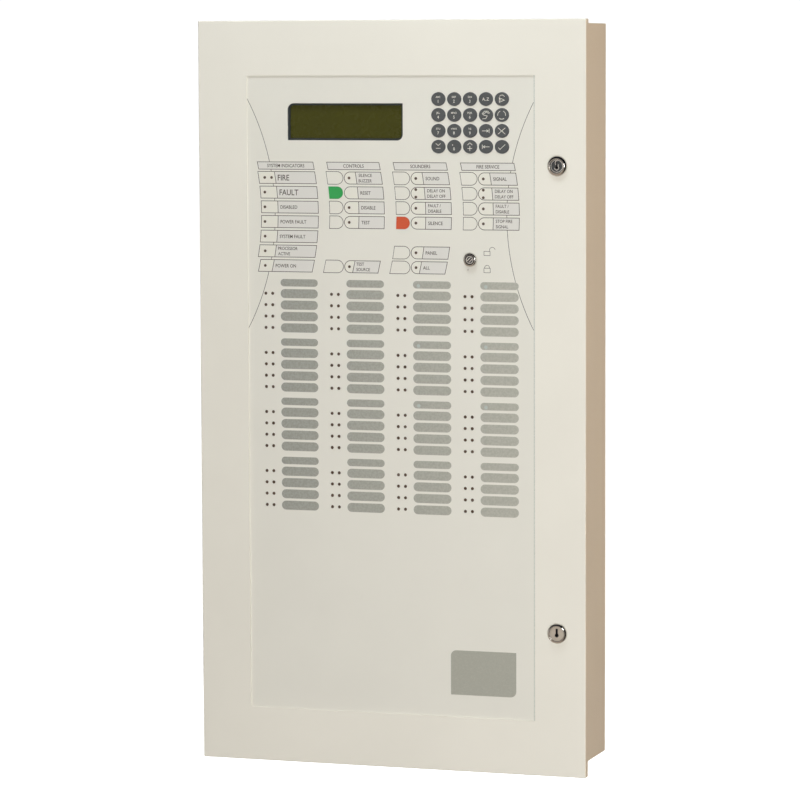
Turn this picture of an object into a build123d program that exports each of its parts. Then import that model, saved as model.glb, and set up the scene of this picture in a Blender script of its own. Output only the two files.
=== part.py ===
from build123d import *
import os

# Wall-hung fire alarm control panel: a folded steel back box, a hinged tray door that
# carries the whole operator panel, and the boards, supply and batteries in the box.
#
# Frame, in millimetres: the origin is the centre of the four wall-screw holes on the back
# face. +X is to the right, +Z is up and the front looks along -Y. A depth d is measured
# from the wall, so it is the plane y = -d.

# ---- driving dimensions -------------------------------------------------------------
sheet = 1.5

box_w = 457.0
box_h = 828.0
box_depth = 80.0
box_lip = 15.0  # width of the front frame inside the tray's edge
box_bend = 3.0

door_w = 460.0
door_h = 850.0
panel_depth = 90.0
door_gap = 0.3
door_z = -6.0  # the door stands 5 mm over the box's top edge and 17 mm under its bottom edge
door_edge = 1.2

wall_hole_r = 3.5
wall_hole_span_x = 380.0
wall_hole_span_z = 720.0

hinge_x = -229.0
hinge_z = 300.0
hinge_length = 60.0
knuckle_r = 3.5
knuckle_gap = 0.3
pin_r = 1.5
pin_play = 0.06
pin_head_r = 2.6
pin_head_t = 1.5
notch_margin = 1.5
box_notch_w = 7.6
box_notch_d = 8.0
door_notch_w = 8.4
leaf_w = 26.0
leaf_set_back = 18.0  # from the barrel's centre to the middle of the leaf
leaf_foot_w = 22.0
knuckle_tab = 6.0

earth_stud_r = 2.5
earth_stud_length = 14.0
earth_stud_at = (188.5, -330.0)
door_earth_at = (-205.0, -380.0)

window_w = 342.0
window_h = 726.0
window_corner = 1.0
plate_w = 362.0
plate_h = 746.0
plate_t = 2.0
overlay_w = 347.0
overlay_h = 731.0
overlay_t = 0.5
stud_r = 2.0
stud_hole_r = 2.25
stud_length = 8.0
stud_x = 176.5
stud_pitch = 180.0
stud_rows = 5
nut_flats = 7.0
nut_t = 3.2

# Display board behind the operator panel
board_t = 1.6
display_w = 330.0
display_h = 500.0
display_z = 100.0
display_front = 78.0
support_r = 3.0
support_head_r = 2.4
support_shoulder_r = 3.8
support_recess = 0.3
support_tip = 2.0
support_taper = 18
support_x = 157.0
support_rows = (-140.0, 18.0, 176.0, 342.0)
switch_hole_r = 7.0
rear_part_t = 3.0
processor_at = (-60.0, 180.0)
processor_w = 24.0
driver_at = (40.0, 40.0)
driver_pitch = (34.0, 46.0)
driver_size = (8.0, 16.0)
ribbon_at = (-110.0, 60.0)
ribbon_size = (12.0, 62.0)

# Layout of the operator panel, from the door's centre
column_pitch = 79.5
edge_arc_r = 274.5  # every slanted box edge and the two long arcs bulge on this radius
edge_arc_z = 205.6
row_top = 247.1
row_pitch = 16.73
box_row_h = 13.6
button_apex_x = -71.5
button_w = 15.4
button_proud = 0.3
led_from_apex = 22.9
general_led_x = -150.3
led_pair = 8.3
delay_led_offset = 4.25

led_r = 1.8
led_fit = 0.05
led_proud = 0.15
led_round = 0.5

zone_x = -109.35
zone_top = 127.4
zone_group_pitch = 67.9
zone_first = 12.4
zone_pitch = 13.05
zone_groups = 4
zone_rows = 4
zone_columns = 4
zone_w = 45.0
zone_h = 10.3
zone_header_h = 8.4
zone_corner = 4.0
zone_led_from_centre = -40.6
zone_window_t = 0.45

key_x = 95.05
key_z = 309.6
key_pitch_x = 18.6
key_pitch_z = 17.73
key_rx = 8.2
key_rz = 7.45
key_proud = 1.0
key_round = 0.6
key_play = 0.3
key_flange = 0.6
key_flange_t = 0.8
key_stem_r = 2.0
key_stop = 0.2
switch_w = 6.0
switch_t = 1.6
switch_gap = 0.8

lcd_x = -53.2
lcd_z = 310.5
lcd_w = 137.8
lcd_h = 41.8
lcd_corner = 7.0
lcd_window_margin = 4.0
lcd_window_t = 1.0
lcd_window_gap = 0.1
lcd_body_w = 150.0
lcd_body_h = 56.0
lcd_view_w = 133.4
lcd_view_h = 37.4
lcd_view_t = 0.6

# Cam locks of the door and the key switch of the operator panel
lock_x = 197.0
lock_z = 262.0
lock_head_r = 11.1
lock_head_t = 3.2
lock_head_round = 2.0
lock_body_r = 9.0
lock_body_back = 76.0
lock_core_r = 7.2
lock_play = 0.05
lock_recess = 0.7
lock_nut_flats = 24.0
lock_nut_t = 4.0
cam_w = 14.0
cam_reach = 24.0
cam_tail = 8.0
cam_t = 2.0
cam_gap = 0.6
cam_square = 7.0
cam_fit = 0.05
cam_corner = 3.0
cam_square_past = 0.8
keyhole_w = 1.6
keyhole_h = 7.0
keyhole_r = 1.8
keyhole_depth = 5.0

switch_x = 95.3
switch_z = 156.4
switch_head_r = 7.9
switch_head_t = 4.2
switch_head_round = 2.2
switch_body_r = 6.0
switch_back = 64.0
switch_core_r = 4.4
switch_core_recess = 0.9
switch_bore_depth = 16.0
switch_core_length = 15.5
switch_slot_w = 1.5
switch_slot_h = 5.2
switch_nut_flats = 15.0
switch_nut_t = 2.5

# Equipment in the box
standoff_flats = 5.5
standoff_h = 10.0
screw_r = 1.25
screw_length = 8.0
screw_head_r = 2.7
screw_head_t = 1.8
screw_slot = (0.8, 3.6)
screw_slot_depth = 1.0
board_hole_r = 1.6
main_w = 380.0
main_h = 250.0
main_z = 85.0
main_hole_x = 182.0
main_hole_z = 117.0
supply_w = 180.0
supply_h = 140.0
supply_x = -105.0
supply_z = -170.0
supply_hole_x = 82.0
supply_hole_z = 62.0
capacitor_at = (110.0, -50.0)  # from the main board's centre
capacitor_pitch = 26.0
capacitor_grid = (3, 2)
capacitor_r = 8.0
capacitor_h = 20.0
buzzer_at = (20.0, -70.0)
buzzer_r = 12.0
transformer_at = (-25.0, 18.0)  # this and the next places are from the supply's centre
transformer_size = (62.0, 52.0)
transformer_h = 38.0
sink_at = (48.0, 18.0)
sink_size = (44.0, 70.0)
sink_base_t = 5.0
sink_fin_h = 22.0
sink_fin_t = 1.6
sink_fins = 7
sink_fin_pitch = 7.0
reservoir_at = (-30.0, -36.0)
reservoir_pitch = 28.0
reservoir_r = 12.0
reservoir_h = 32.0
supply_strip_at = (44.0, -48.0)
supply_strip = (58.0, 14.0)
supply_strip_h = 14.0
terminal_inset = 16.0
terminal_wells = 4
terminal_well_r = 2.0
terminal_well_depth = 4.0
terminal_w = 24.0
terminal_h = 12.0
terminal_t = 14.0
terminal_count = 12
terminal_pitch = 30.0
battery_w = 151.0
battery_h = 94.0
battery_t = 65.0
battery_gap = 12.0
battery_round = 2.0
battery_tab = (6.3, 1.0)
battery_tab_h = 6.0
battery_tab_inset = 12.0
clamp_z = -365.0
clamp_h = 22.0
clamp_foot = 18.0
clamp_play = 0.3
knockout_r = 10.0
knockout_line = 1.0
knockout_depth = 0.5
knockout_rear_drop = 60.0
knockout_rear_pitch = 60.0
knockout_rear_count = 4
knockout_top_pitch = 48.0
knockout_top_count = 8

# ---- depths worked out from the driving dimensions ----------------------------------
skin_back = panel_depth - sheet
overlay_back = skin_back - overlay_t
plate_back = overlay_back - plate_t
display_back = display_front - board_t
flange_front = plate_back - key_stop
flange_back = flange_front - key_flange_t
switch_top = display_front + switch_t
stem_end = switch_top + switch_gap
standoff_top = sheet + standoff_h
equipment_top = standoff_top + board_t
box_floor_z = -box_h / 2 + sheet

column_x = [button_apex_x + index * column_pitch for index in range(3)]
control_rows = (0, 1, 2, 3, 6)
sounder_rows = (0, 1, 2, 3, 5, 6)
brigade_rows = (0, 1, 2, 3)
button_names = {
    0: ("silence_buzzer", "reset", "disable", "test", "test_third_source"),
    1: ("sound", "sounder_delay", "sounder_disable", "silence", "panel", "all"),
    2: ("signal", "brigade_delay", "brigade_disable", "stop_brigade"),
}
button_rows = {0: control_rows, 1: sounder_rows, 2: brigade_rows}
key_names = (
    ("1", "2", "3", "letters", "bell"),
    ("4", "5", "6", "lamp", "reload"),
    ("7", "8", "9", "tab", "cancel"),
    ("down", "0", "up", "back", "enter"),
)


def box_plane(depth):
    """Plane parallel to the wall at this depth, centred on the box."""
    return Plane(origin=(0, -depth, 0), x_dir=(1, 0, 0), z_dir=(0, -1, 0))


def door_plane(depth):
    """Plane parallel to the wall at this depth, centred on the door."""
    return Plane(origin=(0, -depth, door_z), x_dir=(1, 0, 0), z_dir=(0, -1, 0))


def row_z(row):
    """Height of a row of indicator boxes above the door's centre."""
    return row_top - row * row_pitch


def edge_x(apex_x, z):
    """Where a slanted box edge with this apex stands at height z."""
    rise = z - edge_arc_z
    return apex_x - (edge_arc_r - (edge_arc_r**2 - rise**2) ** 0.5)


def zone_centres(header):
    """Centres of the zone label windows, either the headers or the zone lines."""
    centres = []
    for column in range(zone_columns):
        for group in range(zone_groups):
            top = zone_top - group * zone_group_pitch
            x = zone_x + column * column_pitch
            if header:
                centres.append((x, top))
            else:
                lines = range(zone_rows)
                centres += [(x, top - zone_first - line * zone_pitch) for line in lines]
    return centres


def led_centres():
    """Centres of all indicator lamps on the operator panel."""
    centres = [(general_led_x, row_z(row)) for row in range(7)]
    centres.append((general_led_x + led_pair, row_z(0)))
    for column, rows in button_rows.items():
        x = column_x[column] + led_from_apex
        for row in rows:
            if row != 1:
                centres.append((x, row_z(row)))
            elif column > 0:
                centres.append((x, row_z(row) + delay_led_offset))
                centres.append((x, row_z(row) - delay_led_offset))
    for x, z in zone_centres(header=False):
        centres.append((x + zone_led_from_centre, z))
        centres.append((x + zone_led_from_centre + led_pair, z))
    return centres


def button_centres():
    """Column index, row and name of every function button."""
    for column, names in button_names.items():
        yield from ((column, row, name) for row, name in zip(button_rows[column], names))


def key_centres():
    """Name and centre of every keypad key."""
    for row, names in enumerate(key_names):
        for column, name in enumerate(names):
            yield name, key_x + (column - 2) * key_pitch_x, key_z + (1.5 - row) * key_pitch_z


def button_outline(apex_x, z, grow=0.0):
    """D-shaped outline: slanted left edge, round right end. Used inside a BuildSketch."""
    half = box_row_h / 2 + grow
    turn_x = apex_x + button_w - box_row_h / 2
    high_left = (edge_x(apex_x, z + half) - grow, z + half)
    low_left = (edge_x(apex_x, z - half) - grow, z - half)
    with BuildLine() as outline:
        Polyline((turn_x, z - half), low_left, high_left, (turn_x, z + half))
        ThreePointArc((turn_x, z + half), (turn_x + half, z), (turn_x, z - half))
    make_face(outline.edges())


def panel_holes(window_holes):
    """Every hole through the operator panel, cut from the sketch in hand."""
    with Locations(*led_centres()):
        Circle(led_r + led_fit, mode=Mode.SUBTRACT)
    with Locations(*[(x, z) for _, x, z in key_centres()]):
        Ellipse(key_rx + key_play, key_rz + key_play, mode=Mode.SUBTRACT)
    with Locations((switch_x, switch_z)):
        Circle(switch_body_r, mode=Mode.SUBTRACT)
    if window_holes:
        with Locations(*zone_centres(header=True)):
            RectangleRounded(zone_w, zone_header_h, zone_corner, mode=Mode.SUBTRACT)
        with Locations(*zone_centres(header=False)):
            RectangleRounded(zone_w, zone_h, zone_corner, mode=Mode.SUBTRACT)


os.makedirs("parts", exist_ok=True)

# ---- outlines that several pieces share ---------------------------------------------
# Display opening: two opposite corners are round and the other two are square
with BuildSketch() as lcd_opening:
    Rectangle(lcd_w, lcd_h)
    corners = lcd_opening.vertices()
    upper_left = corners.sort_by(Axis.X)[:2].sort_by(Axis.Y)[-1]
    lower_right = corners.sort_by(Axis.X)[2:].sort_by(Axis.Y)[0]
    fillet([upper_left, lower_right], lcd_corner)

with BuildSketch() as button_openings:
    for column, row, name in button_centres():
        button_outline(column_x[column], row_z(row), key_play)

def hinge_notches():
    """Room for the hinge barrels in the left front corner."""
    with Locations(*[(hinge_x, -box_depth, door_z + side * hinge_z) for side in (-1, 1)]):
        Box(box_notch_w, box_notch_d, hinge_length + 2 * notch_margin, mode=Mode.SUBTRACT)


# ---- back box: folded steel tray with welded hinge leaves -------------------------------
with BuildPart() as back_box:
    with BuildSketch(box_plane(0)):
        Rectangle(box_w, box_h)
    extrude(amount=box_depth)
    rear_edges = back_box.faces().sort_by(Axis.Y)[-1].edges()
    fillet(rear_edges, box_bend)
    with BuildSketch(box_plane(sheet)):
        Rectangle(box_w - 2 * sheet, box_h - 2 * sheet)
    extrude(amount=box_depth - sheet, mode=Mode.SUBTRACT)

    # Wall-screw holes and the pressed rings of the rear cable knock-outs
    with BuildSketch(box_plane(0)):
        with GridLocations(wall_hole_span_x, wall_hole_span_z, 2, 2):
            Circle(wall_hole_r)
    extrude(amount=sheet, mode=Mode.SUBTRACT)
    with BuildSketch(box_plane(0)):
        with Locations((0, box_h / 2 - knockout_rear_drop)):
            with GridLocations(knockout_rear_pitch, 1, knockout_rear_count, 1):
                Circle(knockout_r)
                Circle(knockout_r - knockout_line, mode=Mode.SUBTRACT)
    extrude(amount=knockout_depth, mode=Mode.SUBTRACT)

    # Rings of the cable knock-outs along the top
    with BuildSketch(Plane.XY.offset(box_h / 2)):
        with Locations((0, -box_depth / 2)):
            with GridLocations(knockout_top_pitch, 1, knockout_top_count, 1):
                Circle(knockout_r)
                Circle(knockout_r - knockout_line, mode=Mode.SUBTRACT)
    extrude(amount=-knockout_depth, mode=Mode.SUBTRACT)

    hinge_notches()

    # Hinge leaves, welded to the inside of the left wall, with the two outer knuckles
    leaf_x = hinge_x + knuckle_r - sheet / 2
    knuckle_h = hinge_length / 3
    for side in (-1, 1):
        centre_z = door_z + side * hinge_z
        with BuildSketch(Plane.XY.offset(centre_z - hinge_length / 2)):
            with Locations((leaf_x, -box_depth + leaf_set_back)):
                Rectangle(sheet, leaf_w)
        extrude(amount=hinge_length)
        for end in (-1, 1):
            low = centre_z + end * knuckle_h - knuckle_h / 2
            with BuildSketch(Plane.XY.offset(low)):
                with Locations((hinge_x, -box_depth)):
                    Circle(knuckle_r)
                with Locations((leaf_x, -box_depth + knuckle_tab / 2)):
                    Rectangle(sheet, knuckle_tab)
                with Locations((hinge_x, -box_depth)):
                    Circle(pin_r, mode=Mode.SUBTRACT)
            extrude(amount=knuckle_h)

    # Welded earth stud
    with BuildSketch(box_plane(sheet)):
        with Locations(earth_stud_at):
            Circle(earth_stud_r)
    extrude(amount=earth_stud_length)
back_box.part.label = "back_box"
export_step(back_box.part, "parts/back_box.step")

# ---- front frame, welded inside the tray's edge, that the cams close behind ---------------
with BuildPart() as box_frame:
    with BuildSketch(box_plane(box_depth - sheet)):
        Rectangle(box_w - 2 * sheet, box_h - 2 * sheet)
        Rectangle(box_w - 2 * box_lip, box_h - 2 * box_lip, mode=Mode.SUBTRACT)
    extrude(amount=sheet)
    hinge_notches()
box_frame.part.label = "box_frame"
export_step(box_frame.part, "parts/box_frame.step")

# ---- hinge pins ---------------------------------------------------------------------
with BuildPart() as hinge_pins:
    for side in (-1, 1):
        low = door_z + side * hinge_z - hinge_length / 2
        with BuildSketch(Plane.XY.offset(low)):
            with Locations((hinge_x, -box_depth)):
                Circle(pin_r)
        extrude(amount=hinge_length)
        with BuildSketch(Plane.XY.offset(low + hinge_length)):
            with Locations((hinge_x, -box_depth)):
                Circle(pin_head_r)
        extrude(amount=pin_head_t)
hinge_pins.part.label = "hinge_pins"
export_step(hinge_pins.part, "parts/hinge_pins.step")

# ---- door: steel tray with the panel window, lock holes, studs and hinge leaves ----------
with BuildPart() as door_shell:
    with BuildSketch(door_plane(box_depth + door_gap)):
        Rectangle(door_w, door_h)
    extrude(amount=panel_depth - box_depth - door_gap)
    front_edges = door_shell.faces().sort_by(Axis.Y)[0].edges()
    side_edges = door_shell.edges().filter_by(Axis.Y)
    fillet(front_edges + side_edges, door_edge)
    with BuildSketch(door_plane(box_depth + door_gap)):
        Rectangle(door_w - 2 * sheet, door_h - 2 * sheet)
    extrude(amount=skin_back - box_depth - door_gap, mode=Mode.SUBTRACT)
    with BuildSketch(door_plane(skin_back)):
        RectangleRounded(window_w, window_h, window_corner)
        with Locations((lock_x, lock_z), (lock_x, -lock_z)):
            Circle(lock_body_r)
    extrude(amount=sheet, mode=Mode.SUBTRACT)

    # Welded studs that carry the operator panel, and the door's earth stud
    with BuildSketch(door_plane(skin_back)):
        with GridLocations(2 * stud_x, stud_pitch, 2, stud_rows):
            Circle(stud_r)
        with Locations(door_earth_at):
            Circle(earth_stud_r)
    extrude(amount=-stud_length)

    # Hinge side: notches round the barrels, then leaves with the middle knuckle
    for side in (-1, 1):
        centre_z = door_z + side * hinge_z
        low = centre_z - hinge_length / 2
        with BuildSketch(Plane.XY.offset(low - notch_margin)):
            with Locations((hinge_x, -box_depth)):
                Rectangle(door_notch_w, door_notch_w)
        extrude(amount=hinge_length + 2 * notch_margin, mode=Mode.SUBTRACT)
        with BuildSketch(Plane.XY.offset(low)):
            with Locations((leaf_x - sheet / 2 + leaf_foot_w / 2, -skin_back + sheet / 2)):
                Rectangle(leaf_foot_w, sheet)
        extrude(amount=hinge_length)
        with BuildSketch(Plane.XY.offset(centre_z - knuckle_h / 2 + knuckle_gap)):
            with Locations((hinge_x, -box_depth)):
                Circle(knuckle_r)
            with Locations((leaf_x, -(box_depth + skin_back) / 2)):
                Rectangle(sheet, skin_back - box_depth)
            with Locations((hinge_x, -box_depth)):
                Circle(pin_r + pin_play, mode=Mode.SUBTRACT)
        extrude(amount=knuckle_h - 2 * knuckle_gap)
door_shell.part.label = "door_shell"
export_step(door_shell.part, "parts/door_shell.step")

# ---- operator panel: backing plate, printed overlay and zone label windows ------------
with BuildPart() as fascia_plate:
    with BuildSketch(door_plane(plate_back)):
        Rectangle(plate_w, plate_h)
        panel_holes(window_holes=False)
        with Locations((lcd_x, lcd_z)):
            add(lcd_opening.sketch, mode=Mode.SUBTRACT)
        add(button_openings.sketch, mode=Mode.SUBTRACT)
        with GridLocations(2 * stud_x, stud_pitch, 2, stud_rows):
            Circle(stud_hole_r, mode=Mode.SUBTRACT)
        with Locations(*[(side * support_x, z) for z in support_rows for side in (-1, 1)]):
            Circle(support_head_r, mode=Mode.SUBTRACT)
    extrude(amount=plate_t)
fascia_plate.part.label = "fascia_plate"
export_step(fascia_plate.part, "parts/fascia_plate.step")

with BuildPart() as fascia_overlay:
    with BuildSketch(door_plane(overlay_back)):
        Rectangle(overlay_w, overlay_h)
        panel_holes(window_holes=True)
        with Locations((lcd_x, lcd_z)):
            add(lcd_opening.sketch, mode=Mode.SUBTRACT)
        add(button_openings.sketch, mode=Mode.SUBTRACT)
    extrude(amount=overlay_t)
fascia_overlay.part.label = "fascia_overlay"
export_step(fascia_overlay.part, "parts/fascia_overlay.step")

with BuildPart() as zone_labels:
    with BuildSketch(door_plane(overlay_back)):
        with Locations(*zone_centres(header=True)):
            RectangleRounded(zone_w, zone_header_h, zone_corner)
        with Locations(*zone_centres(header=False)):
            RectangleRounded(zone_w, zone_h, zone_corner)
    extrude(amount=zone_window_t)
zone_labels.part.label = "zone_labels"
export_step(zone_labels.part, "parts/zone_labels.step")

# ---- display: clear window and LCD module ---------------------------------------------
with BuildPart() as lcd_window:
    with BuildSketch(door_plane(plate_back - lcd_window_t)):
        with Locations((lcd_x, lcd_z)):
            Rectangle(lcd_w + 2 * lcd_window_margin, lcd_h + 2 * lcd_window_margin)
    extrude(amount=lcd_window_t)
lcd_window.part.label = "lcd_window"
export_step(lcd_window.part, "parts/lcd_window.step")

lcd_front = plate_back - lcd_window_t - lcd_window_gap
with BuildPart() as lcd_module:
    with BuildSketch(door_plane(display_front)):
        with Locations((lcd_x, lcd_z)):
            Rectangle(lcd_body_w, lcd_body_h)
    extrude(amount=lcd_front - display_front)
    with BuildSketch(door_plane(lcd_front - lcd_view_t)):
        with Locations((lcd_x, lcd_z)):
            Rectangle(lcd_view_w, lcd_view_h)
    extrude(amount=lcd_view_t, mode=Mode.SUBTRACT)
lcd_module.part.label = "lcd_module"
export_step(lcd_module.part, "parts/lcd_module.step")

# ---- display board with its push switches and rear components ----------------------------
with BuildPart() as display_board:
    with BuildSketch(door_plane(display_back)):
        with Locations((0, display_z)):
            Rectangle(display_w, display_h)
        with Locations((switch_x, switch_z)):
            Circle(switch_hole_r, mode=Mode.SUBTRACT)
        with Locations(*[(side * support_x, z) for z in support_rows for side in (-1, 1)]):
            Circle(support_head_r, mode=Mode.SUBTRACT)
    extrude(amount=board_t)
    button_mid = button_w / 2 - 1.0
    with BuildSketch(door_plane(display_front)):
        with Locations(*[(x, z) for _, x, z in key_centres()]):
            Rectangle(switch_w, switch_w)
        with Locations(*[(column_x[c] + button_mid, row_z(r)) for c, r, _ in button_centres()]):
            Rectangle(switch_w, switch_w)
    extrude(amount=switch_t)
    with BuildSketch(door_plane(display_back)):
        with Locations(processor_at):
            Rectangle(processor_w, processor_w)
        with Locations(driver_at):
            with GridLocations(*driver_pitch, 3, 3):
                Rectangle(*driver_size)
        with Locations(ribbon_at):
            Rectangle(*ribbon_size)
    extrude(amount=-rear_part_t)
display_board.part.label = "display_board"
export_step(display_board.part, "parts/display_board.step")

with BuildPart() as indicator_leds:
    with BuildSketch(door_plane(display_front)):
        with Locations(*led_centres()):
            Circle(led_r)
    extrude(amount=skin_back + led_proud - display_front)
    lens_faces = indicator_leds.faces().filter_by(Axis.Y).group_by(Axis.Y)[0]
    fillet(lens_faces.edges(), led_round)
indicator_leds.part.label = "indicator_leds"
export_step(indicator_leds.part, "parts/indicator_leds.step")

# ---- nylon board supports between the plate and the display board -------------------------
with BuildPart() as board_supports:
    with BuildSketch(door_plane(display_back)):
        with Locations(*[(side * support_x, z) for z in support_rows for side in (-1, 1)]):
            Circle(support_head_r)
    extrude(amount=plate_back - display_back + plate_t - support_recess)
    with BuildSketch(door_plane(display_front)):
        with Locations(*[(side * support_x, z) for z in support_rows for side in (-1, 1)]):
            Circle(support_shoulder_r)
    extrude(amount=plate_back - display_front)
    with BuildSketch(door_plane(display_back)):
        with Locations(*[(side * support_x, z) for z in support_rows for side in (-1, 1)]):
            Circle(support_r)
    extrude(amount=-support_tip, taper=support_taper)
board_supports.part.label = "board_supports"
export_step(board_supports.part, "parts/board_supports.step")

# ---- keypad keys: oval caps with a retaining flange and a stem to the push switch ---------
for name, x, z in key_centres():
    with BuildPart() as keypad_key:
        with BuildSketch(door_plane(flange_front)):
            with Locations((x, z)):
                Ellipse(key_rx, key_rz)
        extrude(amount=skin_back + key_proud - flange_front)
        fillet(keypad_key.faces().sort_by(Axis.Y)[0].edges(), key_round)
        with BuildSketch(door_plane(flange_back)):
            with Locations((x, z)):
                Ellipse(key_rx + key_flange, key_rz + key_flange)
        extrude(amount=key_flange_t)
        with BuildSketch(door_plane(stem_end)):
            with Locations((x, z)):
                Circle(key_stem_r)
        extrude(amount=flange_back - stem_end)
    keypad_key.part.label = f"key_{name}"
    export_step(keypad_key.part, f"parts/key_{name}.step")

# ---- function buttons: D-shaped caps of the same construction -----------------------------
for column, row, name in button_centres():
    apex_x = column_x[column]
    with BuildPart() as function_button:
        with BuildSketch(door_plane(flange_front)):
            button_outline(apex_x, row_z(row))
        extrude(amount=skin_back + button_proud - flange_front)
        with BuildSketch(door_plane(flange_back)):
            button_outline(apex_x, row_z(row), key_flange)
        extrude(amount=key_flange_t)
        with BuildSketch(door_plane(stem_end)):
            with Locations((apex_x + button_mid, row_z(row))):
                Circle(key_stem_r)
        extrude(amount=flange_back - stem_end)
    function_button.part.label = f"button_{name}"
    export_step(function_button.part, f"parts/button_{name}.step")

# ---- cam locks: chromed bodies, nuts, and a turning core with its cam ------------------------
with BuildPart() as lock_bodies:
    with BuildSketch(door_plane(lock_body_back)):
        with Locations((lock_x, lock_z), (lock_x, -lock_z)):
            Circle(lock_body_r)
    extrude(amount=panel_depth - lock_body_back)
    with BuildSketch(door_plane(panel_depth)):
        with Locations((lock_x, lock_z), (lock_x, -lock_z)):
            Circle(lock_head_r)
    extrude(amount=lock_head_t)
    fillet(lock_bodies.faces().filter_by(Axis.Y).group_by(Axis.Y)[0].edges(), lock_head_round)
    with BuildSketch(door_plane(lock_body_back)):
        with Locations((lock_x, lock_z), (lock_x, -lock_z)):
            Circle(lock_core_r + lock_play)
    extrude(amount=panel_depth + lock_head_t - lock_body_back, mode=Mode.SUBTRACT)
lock_bodies.part.label = "lock_bodies"
export_step(lock_bodies.part, "parts/lock_bodies.step")

# ---- nuts on the door's studs, on the locks and on the key switch -----------------------------
with BuildPart() as door_nuts:
    with BuildSketch(door_plane(plate_back)):
        with GridLocations(2 * stud_x, stud_pitch, 2, stud_rows):
            RegularPolygon(nut_flats / 2, 6, major_radius=False)
            Circle(stud_r, mode=Mode.SUBTRACT)
    extrude(amount=-nut_t)
    with BuildSketch(door_plane(skin_back)):
        with Locations((lock_x, lock_z), (lock_x, -lock_z)):
            RegularPolygon(lock_nut_flats / 2, 6, major_radius=False)
            Circle(lock_body_r, mode=Mode.SUBTRACT)
    extrude(amount=-lock_nut_t)
    with BuildSketch(door_plane(plate_back)):
        with Locations((switch_x, switch_z)):
            RegularPolygon(switch_nut_flats / 2, 6, major_radius=False)
            Circle(switch_body_r, mode=Mode.SUBTRACT)
    extrude(amount=-switch_nut_t)
door_nuts.part.label = "door_nuts"
export_step(door_nuts.part, "parts/door_nuts.step")

core_front = panel_depth + lock_head_t - lock_recess
cam_front = lock_body_back - cam_gap
for name, z in (("upper", lock_z), ("lower", -lock_z)):
    with BuildPart() as lock_core:
        with BuildSketch(door_plane(lock_body_back)):
            with Locations((lock_x, z)):
                Circle(lock_core_r)
        extrude(amount=core_front - lock_body_back)
        with BuildSketch(door_plane(core_front)):
            with Locations((lock_x, z + keyhole_h / 2 - keyhole_r)):
                Rectangle(keyhole_w, keyhole_h)
            with Locations((lock_x, z - keyhole_r)):
                Circle(keyhole_r)
        extrude(amount=-keyhole_depth, mode=Mode.SUBTRACT)
        with BuildSketch(door_plane(cam_front - cam_t - cam_square_past)):
            with Locations((lock_x, z)):
                Rectangle(cam_square, cam_square)
        extrude(amount=lock_body_back - cam_front + cam_t + cam_square_past)
        with BuildSketch(door_plane(cam_front - cam_t)):
            with Locations((lock_x, z + (cam_tail - cam_reach) / 2)):
                RectangleRounded(cam_w, cam_tail + cam_reach, cam_corner)
            with Locations((lock_x, z)):
                fit_square = cam_square + 2 * cam_fit
                Rectangle(fit_square, fit_square, mode=Mode.SUBTRACT)
        extrude(amount=cam_t)
    lock_core.part.label = f"{name}_lock_core"
    export_step(lock_core.part, f"parts/{name}_lock_core.step")

# ---- key switch of the operator panel ---------------------------------------------------------
with BuildPart() as key_switch_body:
    with BuildSketch(door_plane(switch_back)):
        with Locations((switch_x, switch_z)):
            Circle(switch_body_r)
    extrude(amount=skin_back - switch_back)
    with BuildSketch(door_plane(skin_back)):
        with Locations((switch_x, switch_z)):
            Circle(switch_head_r)
    extrude(amount=switch_head_t)
    fillet(key_switch_body.faces().sort_by(Axis.Y)[0].edges(), switch_head_round)
    with BuildSketch(door_plane(skin_back + switch_head_t)):
        with Locations((switch_x, switch_z)):
            Circle(switch_core_r + lock_play)
    extrude(amount=-switch_bore_depth, mode=Mode.SUBTRACT)
key_switch_body.part.label = "key_switch_body"
export_step(key_switch_body.part, "parts/key_switch_body.step")

with BuildPart() as key_switch_core:
    with BuildSketch(door_plane(skin_back + switch_head_t - switch_core_length)):
        with Locations((switch_x, switch_z)):
            Circle(switch_core_r)
    extrude(amount=switch_core_length - switch_core_recess)
    with BuildSketch(door_plane(skin_back + switch_head_t - switch_core_recess)):
        with Locations(Location((switch_x, switch_z, 0), (0, 0, 45))):
            Rectangle(switch_slot_h, switch_slot_w)
    extrude(amount=-keyhole_depth, mode=Mode.SUBTRACT)
key_switch_core.part.label = "key_switch_core"
export_step(key_switch_core.part, "parts/key_switch_core.step")

# ---- equipment in the box: standoffs, boards, supply, terminals and screws -------------------
main_holes = [(column * main_hole_x, main_z + end * main_hole_z) for column in (-1, 0, 1) for end in (-1, 1)]
supply_holes = [
    (supply_x + side * supply_hole_x, supply_z + end * supply_hole_z) for side in (-1, 1) for end in (-1, 1)
]
clamp_half = battery_w + battery_gap / 2 + clamp_play
clamp_holes = [(side * (clamp_half + sheet + clamp_foot / 2), clamp_z) for side in (-1, 1)]
fixing_points = main_holes + supply_holes + clamp_holes

with BuildPart() as board_standoffs:
    with BuildSketch(box_plane(sheet)):
        with Locations(*fixing_points):
            RegularPolygon(standoff_flats / 2, 6, major_radius=False)
            Circle(screw_r, mode=Mode.SUBTRACT)
    extrude(amount=standoff_h)
board_standoffs.part.label = "board_standoffs"
export_step(board_standoffs.part, "parts/board_standoffs.step")

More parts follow.
